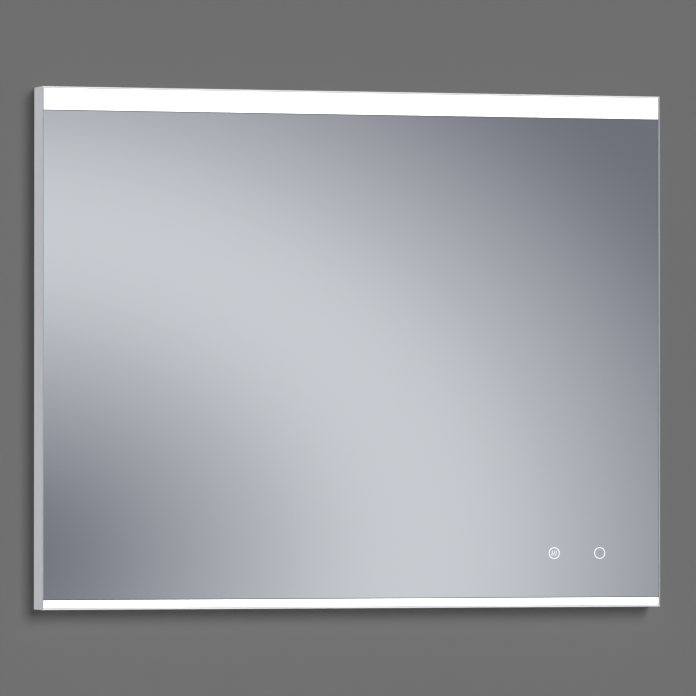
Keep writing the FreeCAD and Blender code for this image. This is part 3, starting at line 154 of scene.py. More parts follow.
def surface(name, low, high, rough, grain, bump, metallic=0.0, stretch=(1, 1, 1), **sockets):
    """A finish with a mottled colour and roughness and a fine relief at one grain."""
    material, tree, shader = blank_finish(name, {"Metallic": metallic, **sockets})
    fine = mottle(tree, grain, 4.0, stretch)
    drive(tree, shader, "Base Color", mottle(tree, PATCH_SCALE), low, high)
    drive(tree, shader, "Roughness", fine, *rough)
    relief(tree, shader, fine, bump)
    return material


# -------------------- finishes
def mirror_silver():
    material, tree, shader = blank_finish("MirrorSilver", {
        "Base Color": (0.90, 0.925, 0.95, 1), "Metallic": 1.0})
    drive(tree, shader, "Roughness", mottle(tree, 6.0), 0.015, 0.03)
    return material


def opal_panel():
    material, tree, shader = blank_finish("OpalPanel", {
        "Emission Strength": 0.92, "Coat Weight": 0.3, "Coat Roughness": 0.1})
    cloud = mottle(tree, 25.0)
    drive(tree, shader, "Base Color", cloud, (0.86, 0.87, 0.88), (0.9, 0.9, 0.9))
    drive(tree, shader, "Emission Color", cloud, (0.985, 0.99, 1.0), (1.0, 1.0, 1.0))
    drive(tree, shader, "Roughness", mottle(tree, 900.0), 0.3, 0.4)
    return material


def pane_finishes():
    """What covers a pane's rear and what seals its ground edges."""
    return {
        "mirror_backing": surface("MirrorBacking", (0.30, 0.32, 0.33), (0.36, 0.38, 0.39), (0.55, 0.7), 800.0,
                                  0.00003),
        "mirror_edge": surface("MirrorEdge", (0.05, 0.065, 0.06), (0.08, 0.10, 0.09), (0.35, 0.5), 1500.0,
                               0.00002),
        "opal_edge": surface("OpalEdge", (0.13, 0.14, 0.14), (0.18, 0.19, 0.19), (0.45, 0.6), 1500.0,
                             0.00003),
    }


def lit_mark():
    material, tree, shader = blank_finish("LitMark", {
        "Base Color": (0.35, 0.36, 0.38, 1), "Emission Strength": 0.86, "Roughness": 0.4})
    drive(tree, shader, "Emission Color", mottle(tree, 600.0), (0.94, 0.96, 1.0), (1.0, 1.0, 1.0))
    return material


def spangled_zinc():
    """Galvanised steel: crystals of differing tone over a fine roughness."""
    material, tree, shader = blank_finish("ZincSteel", {"Metallic": 1.0})
    crystals = add(tree, "ShaderNodeTexVoronoi", {"Vector": place_of(tree), "Scale": 160.0},
                   feature="F1").outputs["Color"]
    tone = add(tree, "ShaderNodeSeparateColor", {"Color": crystals}).outputs[0]
    drive(tree, shader, "Base Color", tone, (0.56, 0.58, 0.60), (0.74, 0.75, 0.76))
    drive(tree, shader, "Roughness", tone, 0.34, 0.48)
    relief(tree, shader, mottle(tree, 900.0), 0.00002)
    return material


def strip_board():
    """White lacquer with narrow copper pads across it at every cutting line."""
    pad_pitch, pad_width = 0.05, 0.002
    material, tree, shader = blank_finish("StripBoard", {})
    split = add(tree, "ShaderNodeSeparateXYZ", {"Vector": place_of(tree)})
    wrapped = add(tree, "ShaderNodeMath", {0: split.outputs[0], 1: pad_pitch}, operation="FLOORED_MODULO")
    on = add(tree, "ShaderNodeMath", {0: wrapped.outputs[0], 1: pad_width}, operation="LESS_THAN")
    drive(tree, shader, "Base Color", on.outputs[0], (0.86, 0.87, 0.87), (0.72, 0.46, 0.25))
    fine = mottle(tree, 700.0)
    drive(tree, shader, "Roughness", fine, 0.4, 0.55)
    relief(tree, shader, fine, 0.00002)
    return material


def circuit_board():
    """Green lacquer with paler copper runs under it."""
    material, tree, shader = blank_finish("CircuitBoard", {"Coat Weight": 0.3, "Coat Roughness": 0.2})
    split = add(tree, "ShaderNodeSeparateXYZ", {"Vector": place_of(tree)})
    flat = add(tree, "ShaderNodeCombineXYZ", {0: split.outputs[0], 1: split.outputs[2]})
    runs = add(tree, "ShaderNodeTexBrick", {
        "Vector": flat.outputs[0], "Scale": 90.0, "Mortar Size": 0.035,
        "Color1": (0.015, 0.10, 0.045, 1), "Color2": (0.02, 0.13, 0.055, 1),
        "Mortar": (0.06, 0.27, 0.12, 1)})
    tree.links.new(runs.outputs["Color"], shader.inputs["Base Color"])
    drive(tree, shader, "Roughness", mottle(tree, 400.0), 0.3, 0.42)
    relief(tree, shader, runs.outputs["Fac"], 0.00003)
    return material


def earth_sheath(centre_x):
    """Green and yellow in long stripes, either side of the wire's middle."""
    material, tree, shader = blank_finish("EarthSheath", {"Specular IOR Level": 0.4})
    split = add(tree, "ShaderNodeSeparateXYZ", {"Vector": place_of(tree, shift=(-centre_x, 0, 0))})
    side = add(tree, "ShaderNodeMath", {0: split.outputs[0], 1: 0.0}, operation="GREATER_THAN")
    drive(tree, shader, "Base Color", side.outputs[0], (0.03, 0.22, 0.05), (0.75, 0.62, 0.04))
    drive(tree, shader, "Roughness", mottle(tree, 500.0), 0.4, 0.5)
    return material


def make_finishes():
    """Each material slot of the record, by name."""
    aluminium = {"rough": (0.34, 0.42), "grain": 1.0, "bump": 0.000008}
    return {
        "mirror_silver": mirror_silver(),
        "opal_panel": opal_panel(),
        "lit_mark": lit_mark(),
        # painted light: the top and bottom bars get a paler, less metallic copy of the one anodised
        # aluminium, as if lit
        "anodised_aluminium": surface("AnodisedAlongX", (0.90, 0.905, 0.92), (0.93, 0.93, 0.94),
                                      metallic=0.2, stretch=(12, 2500, 2500), **aluminium),
        # painted shade: the uprights get a darker, more metallic copy of the same aluminium, as if shaded
        "anodised_upright_shaded_copy": surface("AnodisedAlongZ", (0.715, 0.72, 0.745), (0.755, 0.757, 0.78),
                                    metallic=0.78, stretch=(2500, 2500, 12), **aluminium),
        "zinc_steel": spangled_zinc(),
        "screw_steel": surface("ScrewSteel", (0.56, 0.57, 0.58), (0.68, 0.68, 0.69), (0.22, 0.36), 900.0,
                               0.00001, metallic=1.0),
        "foam_tape": surface("FoamTape", (0.02, 0.02, 0.022), (0.035, 0.035, 0.037), (0.85, 0.98), 2200.0,
                             0.0001),
        "channel_white": surface("ChannelWhite", (0.84, 0.845, 0.85), (0.90, 0.90, 0.90), (0.4, 0.5),
                                 700.0, 0.00004),
        "strip_board": strip_board(),
        "led_package": surface("LedPackage", (0.82, 0.82, 0.80), (0.88, 0.88, 0.86), (0.35, 0.45),
                               1500.0, 0.00001),
        "led_phosphor": surface("LedPhosphor", (0.95, 0.72, 0.16), (1.0, 0.80, 0.25), (0.3, 0.4), 3000.0,
                                0.00002, **{"Emission Color": (1, 0.93, 0.8, 1), "Emission Strength": 0.5}),
        "heater_film": surface("HeaterFilm", (0.70, 0.71, 0.70), (0.78, 0.78, 0.77), (0.3, 0.45), 120.0,
                               0.00005, **{"Coat Weight": 0.2}),
        "heater_trace": surface("HeaterTrace", (0.70, 0.40, 0.26), (0.80, 0.48, 0.32), (0.3, 0.4), 600.0,
                                0.00001, metallic=1.0),
        "sensor_plastic": surface("SensorPlastic", (0.045, 0.047, 0.05), (0.07, 0.07, 0.075), (0.5, 0.65),
                                  1600.0, 0.00003),
        "circuit_board": circuit_board(),
        "light_guide": surface("LightGuide", (0.88, 0.90, 0.92), (0.95, 0.96, 0.97), (0.08, 0.14), 300.0,
                               0.00001, **{"Transmission Weight": 0.6, "IOR": 1.49}),
        "driver_plastic": surface("DriverPlastic", (0.80, 0.81, 0.82), (0.85, 0.86, 0.86), (0.45, 0.6),
                                  1400.0, 0.00004),
        "transformer_core": surface("TransformerCore", (0.035, 0.035, 0.04), (0.07, 0.07, 0.075),
                                    (0.55, 0.7), 800.0, 0.00005),
        "winding_tape": surface("WindingTape", (0.72, 0.52, 0.06), (0.82, 0.62, 0.10), (0.25, 0.35), 300.0,
                                0.00003),
        "capacitor_sleeve": surface("CapacitorSleeve", (0.02, 0.03, 0.07), (0.03, 0.045, 0.10),
                                    (0.25, 0.35), 250.0, 0.00002),
        "terminal_plastic": surface("TerminalPlastic", (0.62, 0.64, 0.66), (0.70, 0.72, 0.73), (0.4, 0.55),
                                    1300.0, 0.00003),
        "cover_paint": surface("CoverPaint", (0.70, 0.705, 0.71), (0.745, 0.75, 0.75), (0.42, 0.56),
                               520.0, 0.00012),
        "soft_rubber": surface("SoftRubber", (0.022, 0.022, 0.024), (0.04, 0.04, 0.042), (0.7, 0.85),
                               900.0, 0.00006),
        "tinned_brass": surface("TinnedBrass", (0.66, 0.65, 0.60), (0.76, 0.75, 0.70), (0.25, 0.38), 700.0,
                                0.00001, metallic=1.0),
        "white_sheath": surface("WhiteSheath", (0.80, 0.80, 0.79), (0.86, 0.86, 0.85), (0.38, 0.5), 900.0,
                                0.00003),
        "earth_sheath": earth_sheath(sum(corner.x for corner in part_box("earth_wire")) / 2),
    }


# -------------------- piece helpers
def bare_object(name, mesh):
    made = bpy.data.objects.new(name, mesh)
    bpy.context.scene.collection.objects.link(made)
    return made


def mesh_of(name, built):
    """The mesh of a bmesh, which is then let go."""
    mesh = bpy.data.meshes.new(name)
    built.to_mesh(mesh)
    built.free()
    return mesh


def bake(worker):
    """Turns an object and its modifiers into a plain mesh on the same object."""
    depsgraph = bpy.context.evaluated_depsgraph_get()
    mesh = bpy.data.meshes.new_from_object(worker.evaluated_get(depsgraph), depsgraph=depsgraph)
    worker.modifiers.clear()
    worker.data = mesh


def crisp(mesh, crease):
    """Smooth shading with the edges sharper than crease kept."""
    mesh.shade_smooth()
    mesh.set_sharp_from_angle(angle=crease)


def settle(piece, body, slot, *nodes):
    """The piece rides on its body and stands for the nodes; its slot is not used."""
    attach(piece, body)
    if nodes:
        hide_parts(*nodes)


def body_of(node):
    return RAIL if node == "wall_rail" else MIRROR


def welded_copy(node, whole=True):
    """A bmesh of a CAD node with its doubles merged and, if asked, its flat faces whole."""
    copy = bmesh.new()
    copy.from_mesh(frame["nodes"][node].data)
    bmesh.ops.remove_doubles(copy, verts=copy.verts, dist=WELD)
    if whole:
        bmesh.ops.dissolve_limit(copy, angle_limit=SAME_PLANE, verts=copy.verts, edges=copy.edges)
    return copy


def edged(node, finish, slot, width):
    """The node's own form with its sharp edges softened."""
    piece = bare_object(node + "_edged", mesh_of(node + "_edged", welded_copy(node)))
    bevel = piece.modifiers.new("Edges", "BEVEL")
    bevel.width = width
    bevel.segments = SOFT_STEPS
    bevel.limit_method = "ANGLE"
    bevel.angle_limit = SOFT_ANGLE
    bake(piece)
    crisp(piece.data, SOFT_ANGLE)
    for face in piece.data.polygons:
        face.use_smooth = face.area < LARGE_FLAT
    piece.data.materials.clear()
    piece.data.materials.append(finish)
    settle(piece, body_of(node), slot, node)


def coated_pane(node, front, rear, edge, slot, polished=False):
    """A pane with a finish for front, rear and ground edges; polished side arrises look like the front."""
    mesh = mesh_of(node + "_coated", welded_copy(node, whole=False))
    mesh.materials.clear()
    for finish in (front, rear, edge):
        mesh.materials.append(finish)
    flat, slant = 0.9, 0.5  # how squarely a face looks along an axis
    for face in mesh.polygons:
        side_arris = face.normal.y < -slant and abs(face.normal.x) > slant
        if face.normal.y < -flat or (polished and side_arris):
            face.material_index = 0
        else:
            face.material_index = 1 if face.normal.y > flat else 2
    settle(bare_object(node + "_coated", mesh), MIRROR, slot, node)


def solids_in(node):
    """(lowest corner, highest corner) of each separate solid of a CAD node."""
    copy = welded_copy(node, whole=False)
    seen, boxes = set(), []
    for start in copy.verts:
        if start in seen:
            continue
        seen.add(start)
        group, waiting = [], [start]
        while waiting:
            vertex = waiting.pop()
            group.append(vertex.co.copy())
            for edge in vertex.link_edges:
                other = edge.other_vert(vertex)
                if other not in seen:
                    seen.add(other)
                    waiting.append(other)
        boxes.append(tuple(Vector(pick(c[i] for c in group) for i in range(3)) for pick in (min, max)))
    copy.free()
    return sorted(boxes, key=lambda box: tuple(round(x, 5) for x in box[0]))


def middles(boxes):
    """The middle of each box in X and Z, at y = 0."""
    return [((low.x + high.x) / 2, 0, (low.z + high.z) / 2) for low, high in boxes]


def middle_of(node):
    low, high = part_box(node)
    return (low + high) / 2


def ring_shape(angle, kind="round"):
    """How far a ring of one kind reaches at an angle, as a share of its radius."""
    if kind == "round":
        return 1.0
    sides = {"hex": 6, "square": 4}[kind]
    sector = 2 * math.pi / sides
    return math.cos(sector / 2) / math.cos(angle % sector - sector / 2)


def turned(name, rings, steps=24, hollow=False):
    """A closed mesh about the Y axis from rings of (radius, y) or (radius, y, kind), perhaps with a bore."""
    made = bmesh.new()
    turns = [2 * math.pi * i / steps for i in range(steps)]
    rows = []
    for radius, y, *kind in rings:
        if radius == 0:
            rows.append([made.verts.new((0, y, 0))] * steps)
            continue
        rows.append([made.verts.new((radius * ring_shape(turn, *kind) * math.cos(turn), y,
                                     radius * ring_shape(turn, *kind) * math.sin(turn))) for turn in turns])
    for lower, upper in zip(rows, rows[1:] + (rows[:1] if hollow else [])):
        for i in range(steps):
            corners = [lower[i], lower[(i + 1) % steps], upper[(i + 1) % steps], upper[i]]
            corners = [v for k, v in enumerate(corners) if v not in corners[:k]]
            if len(corners) > 2:
                made.faces.new(corners)
    for row in () if hollow else (rows[0], rows[-1]):
        if row[0] is not row[1]:
            made.faces.new(row)
    bmesh.ops.recalc_face_normals(made, faces=made.faces)
    mesh = mesh_of(name, made)
    crisp(mesh, TURNED_CREASE)
    return mesh


# -------------------- trees that repeat a piece
def new_tree(name, inputs):
    """A geometry tree with named inputs."""
    tree = bpy.data.node_groups.new(name, "GeometryNodeTree")
    tree.is_modifier = True
    tree.interface.new_socket("Geometry", in_out="INPUT", socket_type="NodeSocketGeometry")
    for label, kind in inputs:
        tree.interface.new_socket(label, in_out="INPUT", socket_type="NodeSocket" + kind)
    tree.interface.new_socket("Geometry", in_out="OUTPUT", socket_type="NodeSocketGeometry")
    return tree, add(tree, "NodeGroupInput")


def close_tree(tree, instances, finish):
    real = add(tree, "GeometryNodeRealizeInstances", {"Geometry": instances})
    coated = add(tree, "GeometryNodeSetMaterial", {"Geometry": real.outputs[0], "Material": finish})
    add(tree, "NodeGroupOutput", {"Geometry": coated.outputs[0]})
    return tree


def spots_tree():
    """Repeats one item at each vertex, each one turned a step further about its own axis."""
    tree, given = new_tree("ItemAtEachSpot", [
        ("Item", "Object"), ("Turn Step", "Float"), ("Finish", "Material")])
    item = add(tree, "GeometryNodeObjectInfo", {"Object": given.outputs["Item"]})
    index = add(tree, "GeometryNodeInputIndex")
    turn = add(tree, "ShaderNodeMath", {0: index.outputs[0], 1: given.outputs["Turn Step"]},
               operation="MULTIPLY")
    spin = add(tree, "ShaderNodeCombineXYZ", {"Y": turn.outputs[0]})
    euler = add(tree, "FunctionNodeEulerToRotation", {"Euler": spin.outputs[0]})
    placed = add(tree, "GeometryNodeInstanceOnPoints", {
        "Points": given.outputs["Geometry"], "Instance": item.outputs["Geometry"],
        "Rotation": euler.outputs[0]})
    return close_tree(tree, placed.outputs[0], given.outputs["Finish"])


def row_tree():
    """Repeats one item in a row along X from a start, at a pitch."""
    tree, given = new_tree("ItemInARow", [
        ("Item", "Object"), ("Count", "Int"), ("Start", "Vector"), ("Pitch", "Float"),
        ("Finish", "Material")])
    item = add(tree, "GeometryNodeObjectInfo", {"Object": given.outputs["Item"]})
    offset = add(tree, "ShaderNodeCombineXYZ", {"X": given.outputs["Pitch"]})
    line = add(tree, "GeometryNodeMeshLine", {
        "Count": given.outputs["Count"], "Start Location": given.outputs["Start"],
        "Offset": offset.outputs[0]})
    placed = add(tree, "GeometryNodeInstanceOnPoints", {
        "Points": line.outputs[0], "Instance": item.outputs["Geometry"]})
    return close_tree(tree, placed.outputs[0], given.outputs["Finish"])


def trace_tree():
    """Sweeps a flat strip along a line of corners that are rounded first."""
    tree, given = new_tree("FlatTrace", [
        ("Corner Radius", "Float"), ("Width", "Float"), ("Thickness", "Float"), ("Finish", "Material")])
    line = add(tree, "GeometryNodeMeshToCurve", {"Mesh": given.outputs["Geometry"]})
    rounded = add(tree, "GeometryNodeFilletCurve", {
        "Curve": line.outputs[0], "Count": 6, "Radius": given.outputs["Corner Radius"]}, mode="POLY")
    upright = add(tree, "GeometryNodeSetCurveNormal", {"Curve": rounded.outputs[0]})
    upright.mode = "FREE"
    upright.inputs["Normal"].default_value = (0, 1, 0)
    outline = add(tree, "GeometryNodeCurvePrimitiveQuadrilateral", {
        "Width": given.outputs["Thickness"], "Height": given.outputs["Width"]})
    swept = add(tree, "GeometryNodeCurveToMesh", {
        "Curve": upright.outputs[0], "Profile Curve": outline.outputs[0], "Fill Caps": True})
    return close_tree(tree, swept.outputs[0], given.outputs["Finish"])


def grown(name, base_mesh, tree, values, slot, *nodes):
    """A piece of the mirror made by a tree over a base mesh, with the tree's inputs set by name."""
    worker = bare_object(name, base_mesh)
    modifier = worker.modifiers.new("Repeat", "NODES")
    modifier.node_group = tree
    for item in tree.interface.items_tree:
        if item.in_out == "INPUT" and item.name in values:
            modifier[item.identifier] = values[item.name]
    bake(worker)
    settle(worker, MIRROR, slot, *nodes)


def spot_mesh(name, spots):
    mesh = bpy.data.meshes.new(name)
    mesh.from_pydata([tuple(spot) for spot in spots], [], [])
    return mesh


def grown_of(item_mesh, name, base_mesh, tree, values, slot, *nodes):
    """A grown piece whose tree repeats an item, which a passing object holds meanwhile."""
    item = bare_object(item_mesh.name, item_mesh)
    grown(name, base_mesh, tree, {"Item": item, **values}, slot, *nodes)
    bpy.data.objects.remove(item)


def repeated(item_mesh, name, places, spots, finish, slot, *nodes, turn_step=0.0):
    """One piece of the item at each of the places."""
    grown_of(item_mesh, name, spot_mesh(name + "_spots", places), spots,
             {"Turn Step": turn_step, "Finish": finish}, slot, *nodes)


# -------------------- screws and rivets
def thread_rings(radius, length):
    """Ridges of a thread from y = 0 down to its tip."""
    pitch, root, tip = 0.35 * radius, 0.8 * radius, 0.6 * radius
    rings = []
    for turn in range(int((length - 1.5 * pitch) / pitch)):
        y = -pitch * (turn + 0.5)
        rings += [(root, y), (radius, y - 0.5 * pitch)]
    return rings + [(root, -length + 0.3 * pitch), (tip, -length)]


def screw_rings(head_radius, head_height, shank_radius, shank_length):
    """A round-headed socket screw: seat at y = 0, head towards +Y, thread towards -Y."""
    socket, floor = 0.45 * head_radius, 0.45 * head_height
    rings = [(0, floor), (socket, floor, "hex"), (socket, 0.97 * head_height, "hex"),
             (1.12 * socket, head_height)]
    arc_steps = 5
    for step in range(arc_steps + 1):
        angle = math.radians(90 * step / arc_steps)
        rings.append((head_radius * (0.62 + 0.36 * math.sin(angle)),
                      head_height * (0.35 + 0.65 * math.cos(angle))))
    rings += [(head_radius, 0.3 * head_height), (head_radius, 0.06 * head_height),
              (0.97 * head_radius, 0), (shank_radius, 0)]
    return rings + thread_rings(shank_radius, shank_length)


def make_screws(node, shank_radius, spots, finish):
    """The node's screws: every solid gives its seat's middle from its own box."""
    head_radius, head_height = 3 * MM, 1.6 * MM
    boxes = solids_in(node)
    low, high = boxes[0]
    rings = screw_rings(head_radius, head_height, shank_radius, high.y - low.y - head_height)
    seats = [(x, box[1].y - head_height, z) for (x, _, z), box in zip(middles(boxes), boxes)]
    repeated(turned(node + "_item", rings), node + "_turned", seats, spots, finish, "screw_steel", node,
             turn_step=0.7)


def make_rivets(spots, finish):
    """Rivets with a set tail in front of the cover and a domed, hollow head on the hanger's foot."""
    boxes = solids_in("hanger_rivets")
    low, high = boxes[0]
    radius, neck, end, rim, hollow = (high.x - low.x) / 2, 2.4 * MM, 1.2 * MM, 0.15 * MM, 0.5 * MM
    cover_front, foot_rear = low.y + end, high.y - end
    rings = [(0, low.y), (0.35 * radius, low.y), (0.62 * radius, low.y + 0.35 * end),
             (0.78 * radius, cover_front), (neck, cover_front), (neck, foot_rear),
             (0.97 * radius, foot_rear), (radius, foot_rear + rim)]
    arc_steps = 6
    for step in range(1, arc_steps):
        angle = math.radians(90 * step / arc_steps)
        rings.append((radius * math.cos(angle), foot_rear + rim + (end - rim) * math.sin(angle)))
    rings += [(0.16 * radius, high.y), (0.12 * radius, high.y - hollow), (0, high.y - hollow)]
    repeated(turned("hanger_rivet_item", rings), "hanger_rivets_turned", middles(boxes), spots, finish,
             "zinc_steel", "hanger_rivets")


# -------------------- light strips
def four_sided(name, rings, stretch_x, stretch_z, steps):
    """A turned item of square rings with their flats along X and Z, stretched to its two lengths."""
    mesh = turned(name, [(radius, y, "square") for radius, y in rings], steps)
    mesh.transform(Matrix.Rotation(math.radians(45), 4, "Y"))
    mesh.transform(Matrix.Diagonal((stretch_x, 1, stretch_z, 1)))
    return mesh


def make_light_strips(finishes, row):
    """Chips of a moulded frame round a domed phosphor, and a resistor after every third chip."""
    group = 3
    for side in ("top", "bottom"):
        boxes = solids_in("led_chips_" + side)
        (low, high), following = boxes[0], boxes[1][0]
        pitch, thick = following.x - low.x, high.y - low.y
        centre = (low + high) / 2
        half_x, half_z = (high.x - low.x) / 2, (high.z - low.z) / 2
        empty = spot_mesh("led_row", [])

        def chip(name, profile):
            rings = [(reach * half_x * math.sqrt(2), y * thick) for reach, y in profile]
            return four_sided(name, rings, 1, half_z / half_x, 16)

        def chip_row(item_name, profile, name, finish, *nodes):
            grown_of(chip(item_name, profile), name, empty, row,
                     {"Finish": finish, "Count": len(boxes), "Pitch": pitch,
                      "Start": (centre.x, high.y, centre.z)}, "led_package", *nodes)

        chip_row("led_package_item",
                 [(1.0, 0), (1.0, -0.9), (0.94, -1.0), (0.78, -1.0), (0.70, -0.7), (0, -0.7)],
                 f"led_chips_{side}_packages", finishes["led_package"], "led_chips_" + side)
        chip_row("led_phosphor_item", [(0.71, -0.6), (0.74, -0.82), (0.5, -0.9), (0, -0.93)],
                 f"led_chips_{side}_phosphor", finishes["led_phosphor"])

        resistor = four_sided("strip_resistor_item", [
            (1.1 * MM, 0), (1.1 * MM, -0.45 * MM), (1.0 * MM, -0.55 * MM)], 1.3, 0.8, 8)
        grown_of(resistor, f"led_strip_{side}_resistors", empty, row, {
            "Finish": finishes["transformer_core"], "Count": len(boxes) // group,
            "Start": (centre.x + (group - 0.5) * pitch, high.y, centre.z), "Pitch": group * pitch},
            "strip_board")


# -------------------- demister pad's heater line
def make_heater_line(finishes):
    """A serpentine of flat metal over the pad, from one upper corner to the other, and its terminal."""
    low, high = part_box("demister_pad")
    edge, rows, width, thick = 16 * MM, 23, 3.2 * MM, 0.24 * MM
    left, right = low.x + edge, high.x - edge
    bottom, top = low.z + edge, high.z - edge
    step = (top - bottom) / (rows - 1)
    points = []
    for i in range(rows):
        ends = (left, right - step) if i % 2 == 0 else (right - step, left)
        points += [(x, high.y, top - i * step) for x in ends]
    points += [(right, high.y, bottom), (right, high.y, top)]
    mesh = bpy.data.meshes.new("heater_corners")
    mesh.from_pydata(points, [(i, i + 1) for i in range(len(points) - 1)], [])
    grown("demister_pad_heater_line", mesh, trace_tree(), {
        "Corner Radius": 0.45 * step, "Width": width, "Thickness": thick,
        "Finish": finishes["heater_trace"]}, "heater_film")
    lead_low, lead_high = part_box("demister_pad_cable")
    lead_x, cap_half, cap_long, cap_deep = (lead_low.x + lead_high.x) / 2, 6 * MM, 12 * MM, 3.4 * MM
    blocks("demister_pad_terminal", [((lead_x - cap_half, high.y, lead_low.z - cap_long),
                                      (lead_x + cap_half, high.y + cap_deep, lead_low.z))],
           finishes["terminal_plastic"], "heater_film", edge=0.8 * MM)


# -------------------- turned pieces
def turned_piece(name, node, rings, finish, slot, steps=32, hollow=False):
    mesh = turned(name, rings, steps, hollow)
    centre = middle_of(node)
    mesh.transform(Matrix.Translation((centre.x, 0, centre.z)))
    mesh.materials.append(finish)
    settle(bare_object(name, mesh), MIRROR, slot, node)


def make_bumpers(finish):
    """Moulded feet: a lip against the cover, a waist and a rounded, slightly hollow tip."""
    for side in ("left", "right"):
        node = "wall_bumper_" + side
        low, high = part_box(node)
        base, tip, depth = (high.x - low.x) / 2, 8 * MM, high.y - low.y
        rings = [(0, low.y), (base, low.y), (base, low.y + 0.16 * depth),
                 (0.96 * base, low.y + 0.2 * depth), (0.9 * base, low.y + 0.22 * depth),
                 (tip + 0.25 * MM, low.y + 0.8 * depth), (tip, low.y + 0.9 * depth),
                 (0.95 * tip, low.y + 0.97 * depth), (0.86 * tip, high.y), (0.62 * tip, high.y),
                 (0.5 * tip, high.y - 0.8 * MM), (0, high.y - 1.0 * MM)]
        turned_piece(node + "_moulded", node, rings, finish, "soft_rubber", 48)


def make_capacitors(spots, finish):
    """Sleeved cans with a rolled groove at the foot and a top that lies inside the sleeve's lip."""
    boxes = solids_in("driver_capacitors")
    low, high = boxes[0]
    radius = (high.x - low.x) / 2
    rings = [(0, high.y), (0.9 * radius, high.y), (radius, high.y - 0.3 * MM),
             (radius, high.y - 1.2 * MM), (0.9 * radius, high.y - 1.6 * MM),
             (radius, high.y - 2.0 * MM), (radius, low.y + 0.5 * MM), (0.93 * radius, low.y),
             (0.8 * radius, low.y), (0.78 * radius, low.y + 0.25 * MM), (0, low.y + 0.25 * MM)]
    repeated(turned("capacitor_item", rings), "driver_capacitors_turned", middles(boxes), spots, finish,
             "capacitor_sleeve", "driver_capacitors")


def make_grub_screws(spots, finish):
    """Headless screws in the corner keys, their sockets towards the mirror's middle."""
    node = "corner_key_grub_screws"
    boxes = solids_in(node)
    low, high = boxes[0]
    radius, half = (high.z - low.z) / 2, (high.x - low.x) / 2
    socket, thread_start = 0.5 * radius, 0.9 * half
    rings = [(0, 0.1 * half), (socket, 0.1 * half, "hex"), (socket, 0.95 * half, "hex"),
             (1.15 * socket, half), (0.85 * radius, half)]
    rings += [(r, thread_start + y) for r, y in thread_rings(radius, thread_start + half)]
    frame_low, frame_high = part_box("frame_left")[0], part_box("frame_right")[1]
    centre = (frame_low + frame_high) / 2
    groups = {}
    for a, b in boxes:
        spot = (a + b) / 2
        from_side = min(spot.x - frame_low.x, frame_high.x - spot.x)
        from_end = min(spot.z - frame_low.z, frame_high.z - spot.z)
        axis = 0 if from_side < from_end else 2
        inward = Vector((0, 0, 0))
        inward[axis] = 1 if spot[axis] < centre[axis] else -1
        groups.setdefault(tuple(inward), []).append(spot)
    for i, (inward, group) in enumerate(sorted(groups.items())):
        mesh = turned(node + "_item", rings, 18)
        mesh.transform(Vector((0, 1, 0)).rotation_difference(Vector(inward)).to_matrix().to_4x4())
        repeated(mesh, f"{node}_turned_{i}", group, spots, finish, "screw_steel",
                 *([node] if i == 0 else []))


def make_earth_fixings(finishes):
    """The threaded stud with its low round head, and the hexagon nut on it."""
    low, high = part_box("earth_stud")
    head, shank = (high.x - low.x) / 2, 2 * MM
    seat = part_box("back_cover")[1].y
    rings = [(0, high.y), (0.75 * head, high.y), (0.95 * head, high.y - 0.3 * MM),
             (head, high.y - 0.6 * MM), (head, seat), (shank, seat)]
    rings += [(r, seat + y) for r, y in thread_rings(shank, seat - low.y)]
    turned_piece("earth_stud_turned", "earth_stud", rings, finishes["tinned_brass"], "tinned_brass")
    low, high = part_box("earth_nut")
    outer, bore, lead_in = (high.x - low.x) / 2, 2.05 * MM, 0.35 * MM
    rings = [(bore, low.y + lead_in), (1.15 * bore, low.y), (0.84 * outer, low.y),
             (outer, low.y + lead_in, "hex"), (outer, high.y - lead_in, "hex"), (0.84 * outer, high.y),
             (1.15 * bore, high.y), (bore, high.y - lead_in)]
    turned_piece("earth_nut_turned", "earth_nut", rings, finishes["screw_steel"], "screw_steel", 36,
                 hollow=True)


def make_grommet(finish):
    """A rubber bush with rounded lips on either side of the lid and a tapering mouth."""
    low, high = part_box("inlet_grommet")
    lid_low, lid_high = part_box("terminal_lid")
    outer, neck, bore = (high.x - low.x) / 2, 6.5 * MM, 4.2 * MM
    rings = [(bore, low.y + 0.6 * MM), (bore + 0.5 * MM, low.y), (outer - 0.7 * MM, low.y),
             (outer, low.y + 0.5 * MM), (outer, lid_low.y), (neck, lid_low.y), (neck, lid_high.y),
             (outer, lid_high.y), (outer - 0.2 * MM, high.y - 0.6 * MM), (outer - 0.9 * MM, high.y),
             (bore + 0.8 * MM, high.y), (bore, high.y - 0.8 * MM)]
    turned_piece("inlet_grommet_moulded", "inlet_grommet", rings, finish, "soft_rubber", 48, hollow=True)


# -------------------- electrical parts
def blocks(name, boxes, finish, slot, *nodes, edge=0.3 * MM):
    """One piece of several bevelled blocks, each given by two opposite corners."""
    made = bmesh.new()
    for low, high in boxes:
        low, high = Vector(low), Vector(high)
        cube = bmesh.ops.create_cube(made, size=1.0)["verts"]
        bmesh.ops.scale(made, vec=high - low, verts=cube)
        bmesh.ops.translate(made, vec=(low + high) / 2, verts=cube)
    bmesh.ops.bevel(made, geom=made.edges[:], offset=edge, segments=2, affect="EDGES", profile=0.5)
    mesh = mesh_of(name, made)
    crisp(mesh, MOULDED_CREASE)
    mesh.materials.append(finish)
    settle(bare_object(name, mesh), MIRROR, slot, *nodes)


